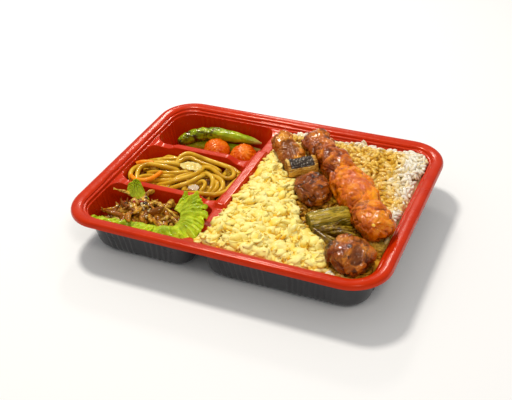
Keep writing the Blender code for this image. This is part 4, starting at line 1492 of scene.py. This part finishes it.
def egg_pile():
    """Curds and shreds over a lowered core."""
    core = lowered_bed("egg", "egg_core", 4.2 * MM)
    tree = tree_of(core)
    low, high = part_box("egg")
    tray_tree = tree_of(tray)

    def bed_height(x, y):
        top = top_of(tree, x, y)
        if top is not None and top > 20 * MM:
            return top + 1.2 * MM * hills(Vector((x, y, 0)), 11 * MM, 2)
        if RIDGE[0] + 1 * MM < x < low.x + 3 * MM and y < RIDGE[2] - 10 * MM:
            return top_of(tray_tree, x, y)
        return None

    pile = Pile((low.x - 5 * MM, low.y), (high.x, high.y), 0.8 * MM, bed_height)
    curds = [curd_shape(seed) for seed in range(40)]
    shreds = [shred_shape(seed) for seed in range(16)]
    random.seed(31)
    laid = 0
    while laid < 1000:
        x, y = random.uniform(low.x - 1 * MM, high.x), random.uniform(low.y, high.y)
        if pile.height(x, y) < 0:
            continue
        laid += 1
        is_shred = laid > 650 and random.random() < 0.40
        shape, faces = random.choice(shreds if is_shred else curds)
        if x < low.x + 4 * MM or random.random() < 0.25:
            shape = shape * 0.62
        scale = random.uniform(0.65, 1.4) * (1.0 if laid < 600 else 0.8)
        # The last value turns the low side of each curd golden: painted shade.
        pile.drop(shape * scale, faces, x, y, random.uniform(0, math.tau), random.uniform(-0.6, 0.6),
                  34, random.uniform(0.55, 1), high.z + 4.5 * MM, -0.7)
    small = [curd_shape(seed)[0] * 0.36 for seed in range(60, 72)]
    for number in range(420):
        x, y = random.uniform(low.x, high.x), random.uniform(low.y, high.y)
        if pile.height(x, y) > 0:
            crumb = small[number % 12] * random.uniform(0.7, 1.3)
            # The last value turns the low side of each crumb golden: painted shade.
            pile.drop(crumb, curds[0][1], x, y, random.uniform(0, math.tau), random.uniform(-0.6, 0.6),
                      25, random.uniform(0.3, 1), high.z + 4 * MM, -0.5)
    return core, pile


def egg_look(name, deep):
    """Pale yellow egg, golden where its tone is low: painted shade on the low side of each curd and on the
    bed beneath.
    """
    look = new_look(name, (0.9, 0.72, 0.2), 0.5, coat=0.05, soft=0.08, soft_radius=(0.003, 0.0024, 0.0012))
    tones = graded(look, mark(look, "tone"), [
        (0.0, (1.0, 0.46, 0.008)), (0.3, (1.0, 0.68, 0.07)),
        (0.6, (1.0, 0.85, 0.26)), (1.0, (1.0, 0.88, 0.36)),
    ])
    browned = stepped(look, spots(look, 140, 4), 0.55, 0.72, 0.0, deep)
    colour = blended(look, browned, tones, (0.95, 0.55, 0.03))
    return finish_look(look, colour, None, spots(look, 330, 4, 0.5), 0.0006)


egg_core, egg = egg_pile()
# The bed beneath the curds gets a low tone and strong browning: painted golden shade in the gaps.
store(egg_core.data, "tone", [0.1] * len(egg_core.data.vertices))
egg_core.data.materials.append(egg_look("egg_bed", 0.9))
curds = egg.joined("egg_curds")
curds.data.materials.append(egg_look("egg_curd", 0.4))
settle(curds, "egg")
settle(egg_core, "egg", smooth=False)

# %% [markdown]
# The grilled chicken comes in two rows of chunks that have slid off their skewers. Meat
# has three scales of relief: the folds of the cut, the fibres and small torn edges, and
# a fine pebbling under the glaze. Charring follows the high places and the glaze is a
# clear coat over everything, so that it glints like syrup.

# %% Chicken
def axes_of(node, along):
    """Middle and half sizes of a lump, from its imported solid, along and across a row."""
    points = np.array([vertex.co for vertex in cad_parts[node].data.vertices])
    middle = (points.max(0) + points.min(0)) / 2
    across = np.array((-along.y, along.x))
    spans = [(points[:, :2] - middle[:2]) @ way for way in (np.array(along[:2]), across)]
    half = [(span.max() - span.min()) / 2 for span in spans + [points[:, 2]]]
    return Vector(middle), Vector(half)


def full_lump(name, middle, heading, half, ends, power, voxel):
    """A rounded block with full ends and soft corners, in even small faces."""
    deselect()
    bpy.ops.mesh.primitive_uv_sphere_add(segments=48, ring_count=32, radius=1)
    piece = bpy.context.object
    piece.name = name
    for vertex in piece.data.vertices:
        x, y, z = vertex.co
        size = (abs(y) ** power + abs(z) ** power) ** (1 / power) / max(1e-6, math.hypot(y, z))
        vertex.co = (math.copysign(abs(x) ** ends, x), y / max(size, 0.1), z / max(size, 0.1))
    piece.scale = half
    piece.rotation_euler = (0, 0, heading)
    piece.location = middle
    apply_all(piece)
    return refined(piece, voxel)


def chunk(node, row, seed, longer=1.0, ends=0.8, power=2.2, fold=1.8, cut=1.2, fine=0.22, voxel=0.6):
    """One chunk of meat, folded and torn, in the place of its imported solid."""
    middle, half = axes_of(node, row)
    half = Vector((half.x * longer, half.y, half.z))
    piece = full_lump(node + "_meat", middle, math.atan2(row.y, row.x), half, ends, power, voxel * MM)
    side = Vector((-row.y, row.x, 0))

    def meat(point):
        wander = Vector([hills(point, 9 * MM, seed + step) for step in (0, 1, 8)]) * 4.5 * MM
        bent = point + wander
        flap = ramp(hills(bent, 13 * MM, seed + 2), -0.04, 0.08)
        scrap = ramp(hills(bent, 7.5 * MM, seed + 3), -0.05, 0.12)
        crease = math.exp(-(hills(bent, 10 * MM, seed + 9) / 0.07) ** 2)
        fibre = Vector((bent.dot(row) / 7, bent.dot(side) / 2.4, bent.z / 4)) * 0.01 / MM
        move = fold * hills(point, 16 * MM, seed + 6) + 0.8 * hills(point, 6.5 * MM, seed + 7)
        move += 0.4 * hills(point, 3.2 * MM, seed + 5) + fine * hills(point, 1.6 * MM, seed + 5)
        move += cut * (1.4 * (flap - 0.5) + 0.6 * (scrap - 0.5) - 0.8 * crease)
        move += 0.36 * (creases(fibre, 0.011, seed + 4) - 0.6)
        return move * MM

    relief(piece, meat)
    # Each point notes how far it lies on the chunk's front-left side, where the colour is made darker.
    front_left_dark = []
    for vertex in piece.data.vertices:
        inward = -(vertex.co - middle).dot(side) / half.y + 0.5 * hills(vertex.co, 8 * MM, seed + 11)
        front_left_dark.append(0.7 * ramp(inward, 0.2, 1.1))
    store(piece.data, "front_left_dark", front_left_dark)
    return piece


def meat_look(name, dark, middle, bright, char, gloss=0.17, char_at=0.58):
    """Glazed meat: three tones in patches, painted shade in the hollows, darker on the front-left side, char
    on the high places, a syrupy coat.
    """
    look = new_look(name, middle, 0.3, coat=0.6, soft=0.03)
    shader = look.node_tree.nodes["Principled BSDF"]
    shader.inputs["Coat Roughness"].default_value = 0.05
    shader.inputs["Specular IOR Level"].default_value = 0.12
    patches = graded(look, spots(look, 85, 6, 0.65), [(0.38, dark), (0.5, middle), (0.62, bright)])
    proud = add(look, "Math", operation="ADD")
    join(look, spots(look, 120, 6, 0.7), proud.inputs[0])
    high = add(look, "Math", operation="MULTIPLY")
    join(look, mark(look, "proud"), high.inputs[0])
    high.inputs[1].default_value = 0.16
    join(look, high.outputs[0], proud.inputs[1])
    scorched = stepped(look, proud.outputs[0], char_at, char_at + 0.12, 0.0, 0.9)
    # Painted shade: the colour darkens where the surface is pressed in, in hollows and creases.
    deep = stepped(look, mark(look, "proud"), 0.05, -0.55, 0.0, 0.85)
    shaded = blended(look, deep, patches, tuple(part * 0.4 for part in dark))
    # The colour darkens on each chunk's front-left side.
    front_left_darkened = blended(look, mark(look, "front_left_dark"), shaded, tuple(part * 0.75 for part in dark))
    colour = blended(look, scorched, front_left_darkened, char)
    rough = stepped(look, spots(look, 260, 3), 0.35, 0.7, gloss, gloss + 0.25)
    finish_look(look, colour, rough, spots(look, 700, 4, 0.6), 0.0005)
    return wet_film(look, 330, 0.00030)


CARAMEL = {
    "chicken_1": ((0.38, 0.080, 0.002), (0.68, 0.21, 0.008), (0.82, 0.34, 0.03)),
    "chicken_2": ((0.16, 0.024, 0.001), (0.42, 0.095, 0.004), (0.62, 0.19, 0.010)),
    "chicken_3": ((0.24, 0.042, 0.002), (0.50, 0.125, 0.007), (0.66, 0.22, 0.018)),
}
ORANGE = {
    "orange_chicken_1": ((0.26, 0.040, 0.001), (0.54, 0.120, 0.001), (0.72, 0.21, 0.005)),
    "orange_chicken_2": ((0.34, 0.050, 0.000), (0.60, 0.130, 0.000), (0.78, 0.24, 0.002)),
    "orange_chicken_3": ((0.66, 0.105, 0.000), (0.90, 0.23, 0.000), (0.97, 0.35, 0.001)),
    "orange_chicken_4": ((0.48, 0.070, 0.000), (0.78, 0.175, 0.000), (0.90, 0.29, 0.002)),
}
BROWN_ROW = Vector((0.66, -0.75, 0)).normalized()
ORANGE_ROW = Vector((0.68, -0.74, 0)).normalized()
for order, (node, tones) in enumerate(CARAMEL.items()):
    meat = chunk(node, BROWN_ROW, 20 + order * 9, 1.12 if order == 0 else 1.0, 0.5 if order == 0 else 0.75)
    char_at = 0.60 if order == 0 else 0.54
    meat.data.materials.append(meat_look(node + "_glaze", *tones, (0.030, 0.008, 0.004), 0.15, char_at))
    settle(meat, node)
for order, (node, tones) in enumerate(ORANGE.items()):
    meat = chunk(node, ORANGE_ROW, 60 + order * 9, 1.06 if order == 3 else 1.26, 0.7 if order == 3 else 0.5)
    char_at = 0.58 if order == 0 else 0.66
    meat.data.materials.append(meat_look(node + "_glaze", *tones, (0.14, 0.012, 0.006), 0.2, char_at))
    settle(meat, node)


def chilli_seed():
    """One flat yellow seed lying on the front chunk."""
    place = (110.5 * MM, -44.5 * MM)
    top = top_of(tree_of(bpy.data.objects["orange_chicken_4_meat"]), *place)
    deselect()
    bpy.ops.mesh.primitive_uv_sphere_add(segments=24, ring_count=12, radius=1)
    piece = bpy.context.object
    piece.name = "chilli_seed"
    piece.scale = (1.9 * MM, 1.4 * MM, 0.55 * MM)
    piece.location = (*place, top + 0.2 * MM)
    piece.rotation_euler = (0.5, 0.15, -0.6)
    apply_all(piece)
    return piece


seed_look = new_look("chilli_seed_skin", (0.90, 0.52, 0.06), 0.25, coat=0.4)
yellow_seed = chilli_seed()
yellow_seed.data.materials.append(finish_look(seed_look, None, None, spots(seed_look, 900, 3), 0.0002))
settle(yellow_seed, None)

# %% [markdown]
# The leek pieces are cut lengths with their leaves still wrapped round each other. The
# ends show the layers as rings, and lengthways grooves run over the outside. One carries
# a black grill mark on its top; the other is olive green.

# %% Leeks
def leek(node, start, end, radius, seed, char=0.0):
    """A wrapped length of leek between two points in mm."""
    a, b = Vector(start) * MM, Vector(end) * MM
    axis = (b - a).normalized()
    side = axis.cross(Vector((0, 0, 1))).normalized()
    up = side.cross(axis)
    length = (b - a).length
    around, along, layers = 120, 56, 9
    rows = [(-1, layer) for layer in range(layers + 1)] + [(0, step) for step in range(along + 1)]
    rows += [(1, layer) for layer in range(layers, -1, -1)]
    points, burnt, green = [], [], []
    for cap, step in rows:
        for column in range(around):
            turn = math.tau * column / around
            face = Vector((math.cos(turn), math.sin(turn), 0))
            if cap == 0:
                share = step / along
                size = 1 - 0.10 * abs(2 * share - 1) ** 6
            else:
                share = 0.0 if cap < 0 else 1.0
                size = 0.9 * step / (layers + 1)
            skin = creases(face * 0.010 + Vector((0, 0, share * 0.004)), 1.9 * MM, seed)
            skin += 0.5 * creases(face * 0.010 + Vector((0, 0, share * 0.004)), 0.9 * MM, seed + 8)
            swell = 1 + 0.09 * hills(face * 0.010 + Vector((0, 0, share * 0.02)), 9 * MM, seed + 1)
            reach = radius * MM * size * swell + (0.75 * (skin - 1.0) * MM if cap == 0 else 0)
            depth = 0.0
            if cap:
                jag = hills(face * 0.01 + Vector((0, 0, step * 0.01)), 6 * MM, seed + 2)
                depth = cap * MM * ((0.9 if step % 2 else -0.7) + 0.8 * jag)
            place = a + axis * (length * share + depth) + side * reach * face.x + up * reach * face.y * 0.92
            on_top = ramp(face.y, 0.42, 0.62) * ramp(share, 0.04, 0.12) * ramp(1 - share, 0.06, 0.14)
            ragged = hills(place, 2.2 * MM, seed + 3) * 0.35
            scorch = char * min(1.0, max(0.0, on_top * 1.6 - 0.3 + ragged * on_top))
            place -= up * scorch * 1.1 * MM * (0.75 + 0.5 * hills(place, 1.5 * MM, seed + 6))
            points.append(place)
            burnt.append(scorch if cap == 0 else 0.0)
            # Darker in the grooves, as painted shade, and in three broad bands round the leek, its own
            # stripes.
            striped = 0.9 - skin * 0.75 + 0.3 * math.sin(turn * 3 + seed)
            green.append(striped if cap == 0 else 0.2 + 0.5 * (step % 2))
    faces = []
    for row in range(len(rows) - 1):
        for column in range(around):
            after = (column + 1) % around
            first, second = row * around, (row + 1) * around
            faces.append((first + column, first + after, second + after, second + column))
    faces.append(tuple(range(around - 1, -1, -1)))
    faces.append(tuple(range(len(points) - around, len(points))))
    piece = mesh_piece(node + "_wrapped", points, faces)
    store(piece.data, "burnt", burnt)
    store(piece.data, "green", green)
    return piece


def leek_look(name, dark, middle, light, line):
    """Glossy cooked leek, striped along its length, with painted shade in its grooves, and scorched where
    marked.
    """
    look = new_look(name, middle, 0.24, coat=0.5, soft=0.10)
    base = graded(look, spots(look, 130, 4), [(0.28, dark), (0.5, middle), (0.74, light)])
    stripes = stepped(look, mark(look, "green"), 0.15, 0.6, 0.0, 0.75)
    striped = blended(look, stripes, base, line)
    crust = graded(look, spots(look, 700, 4), [(0.35, (0.012, 0.010, 0.010)), (0.75, (0.085, 0.055, 0.048))])
    colour = blended(look, mark(look, "burnt"), striped, crust)
    return finish_look(look, colour, None, spots(look, 900, 4), 0.0004)


leek_one = leek("leek_1", (15, 21, 40.6), (35, 36, 41.2), 9, 5, 1.0)
leek_one.data.materials.append(leek_look(
    "leek_grilled", (0.62, 0.24, 0.020), (0.74, 0.40, 0.050), (0.84, 0.60, 0.16), (0.30, 0.075, 0.005)))
settle(leek_one, "leek_1")
leek_two = leek("leek_2", (58, -40.5, 38), (83.5, -22, 38.5), 9, 8, 0.0)
leek_two.data.materials.append(leek_look(
    "leek_olive", (0.24, 0.15, 0.004), (0.40, 0.27, 0.010), (0.60, 0.42, 0.035), (0.085, 0.075, 0.002)))
settle(leek_two, "leek_2")

# %% [markdown]
# Loose leek leaves lie in the sauce beside the front chunk, dark and limp. They are thin
# tubes, tangled a little.

# %% Leek strands
def leek_strands():
    """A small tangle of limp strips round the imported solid's middle."""
    random.seed(8)
    low, high = (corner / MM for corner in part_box("leek_strands"))
    middle = (low + high) / 2
    lines = []
    for number in range(13):
        x, y = low.x + random.uniform(0, 8), middle.y + random.uniform(-4.5, 4.5)
        z = mix(low.z, high.z, 0.45 + 0.035 * number)
        line = []
        heading = random.uniform(-0.25, 0.55)
        for step in range(7):
            wide = 1.9 * math.sin(math.pi * (0.15 + 0.7 * step / 6)) * random.uniform(0.75, 1.1)
            line.append((x, y, z + 1.4 * math.sin(step + number), wide))
            heading += random.uniform(-0.35, 0.35)
            x += 4.6 * math.cos(heading)
            y += 4.6 * math.sin(heading)
            z += random.uniform(-0.4, 0.3)
        lines.append(line)
    return curve_piece("leek_strand_tangle", lines, 8, 6)


strands = leek_strands()
strand_look = new_look("leek_strand", (0.2, 0.12, 0.01), 0.2, coat=0.6)
finish_look(strand_look, graded(strand_look, spots(strand_look, 260, 4), [
    (0.36, (0.060, 0.022, 0.001)), (0.5, (0.20, 0.11, 0.003)), (0.66, (0.42, 0.28, 0.012))]),
    None, spots(strand_look, 800, 4), 0.0003)
strands.data.materials.append(strand_look)
settle(strands, "leek_strands")
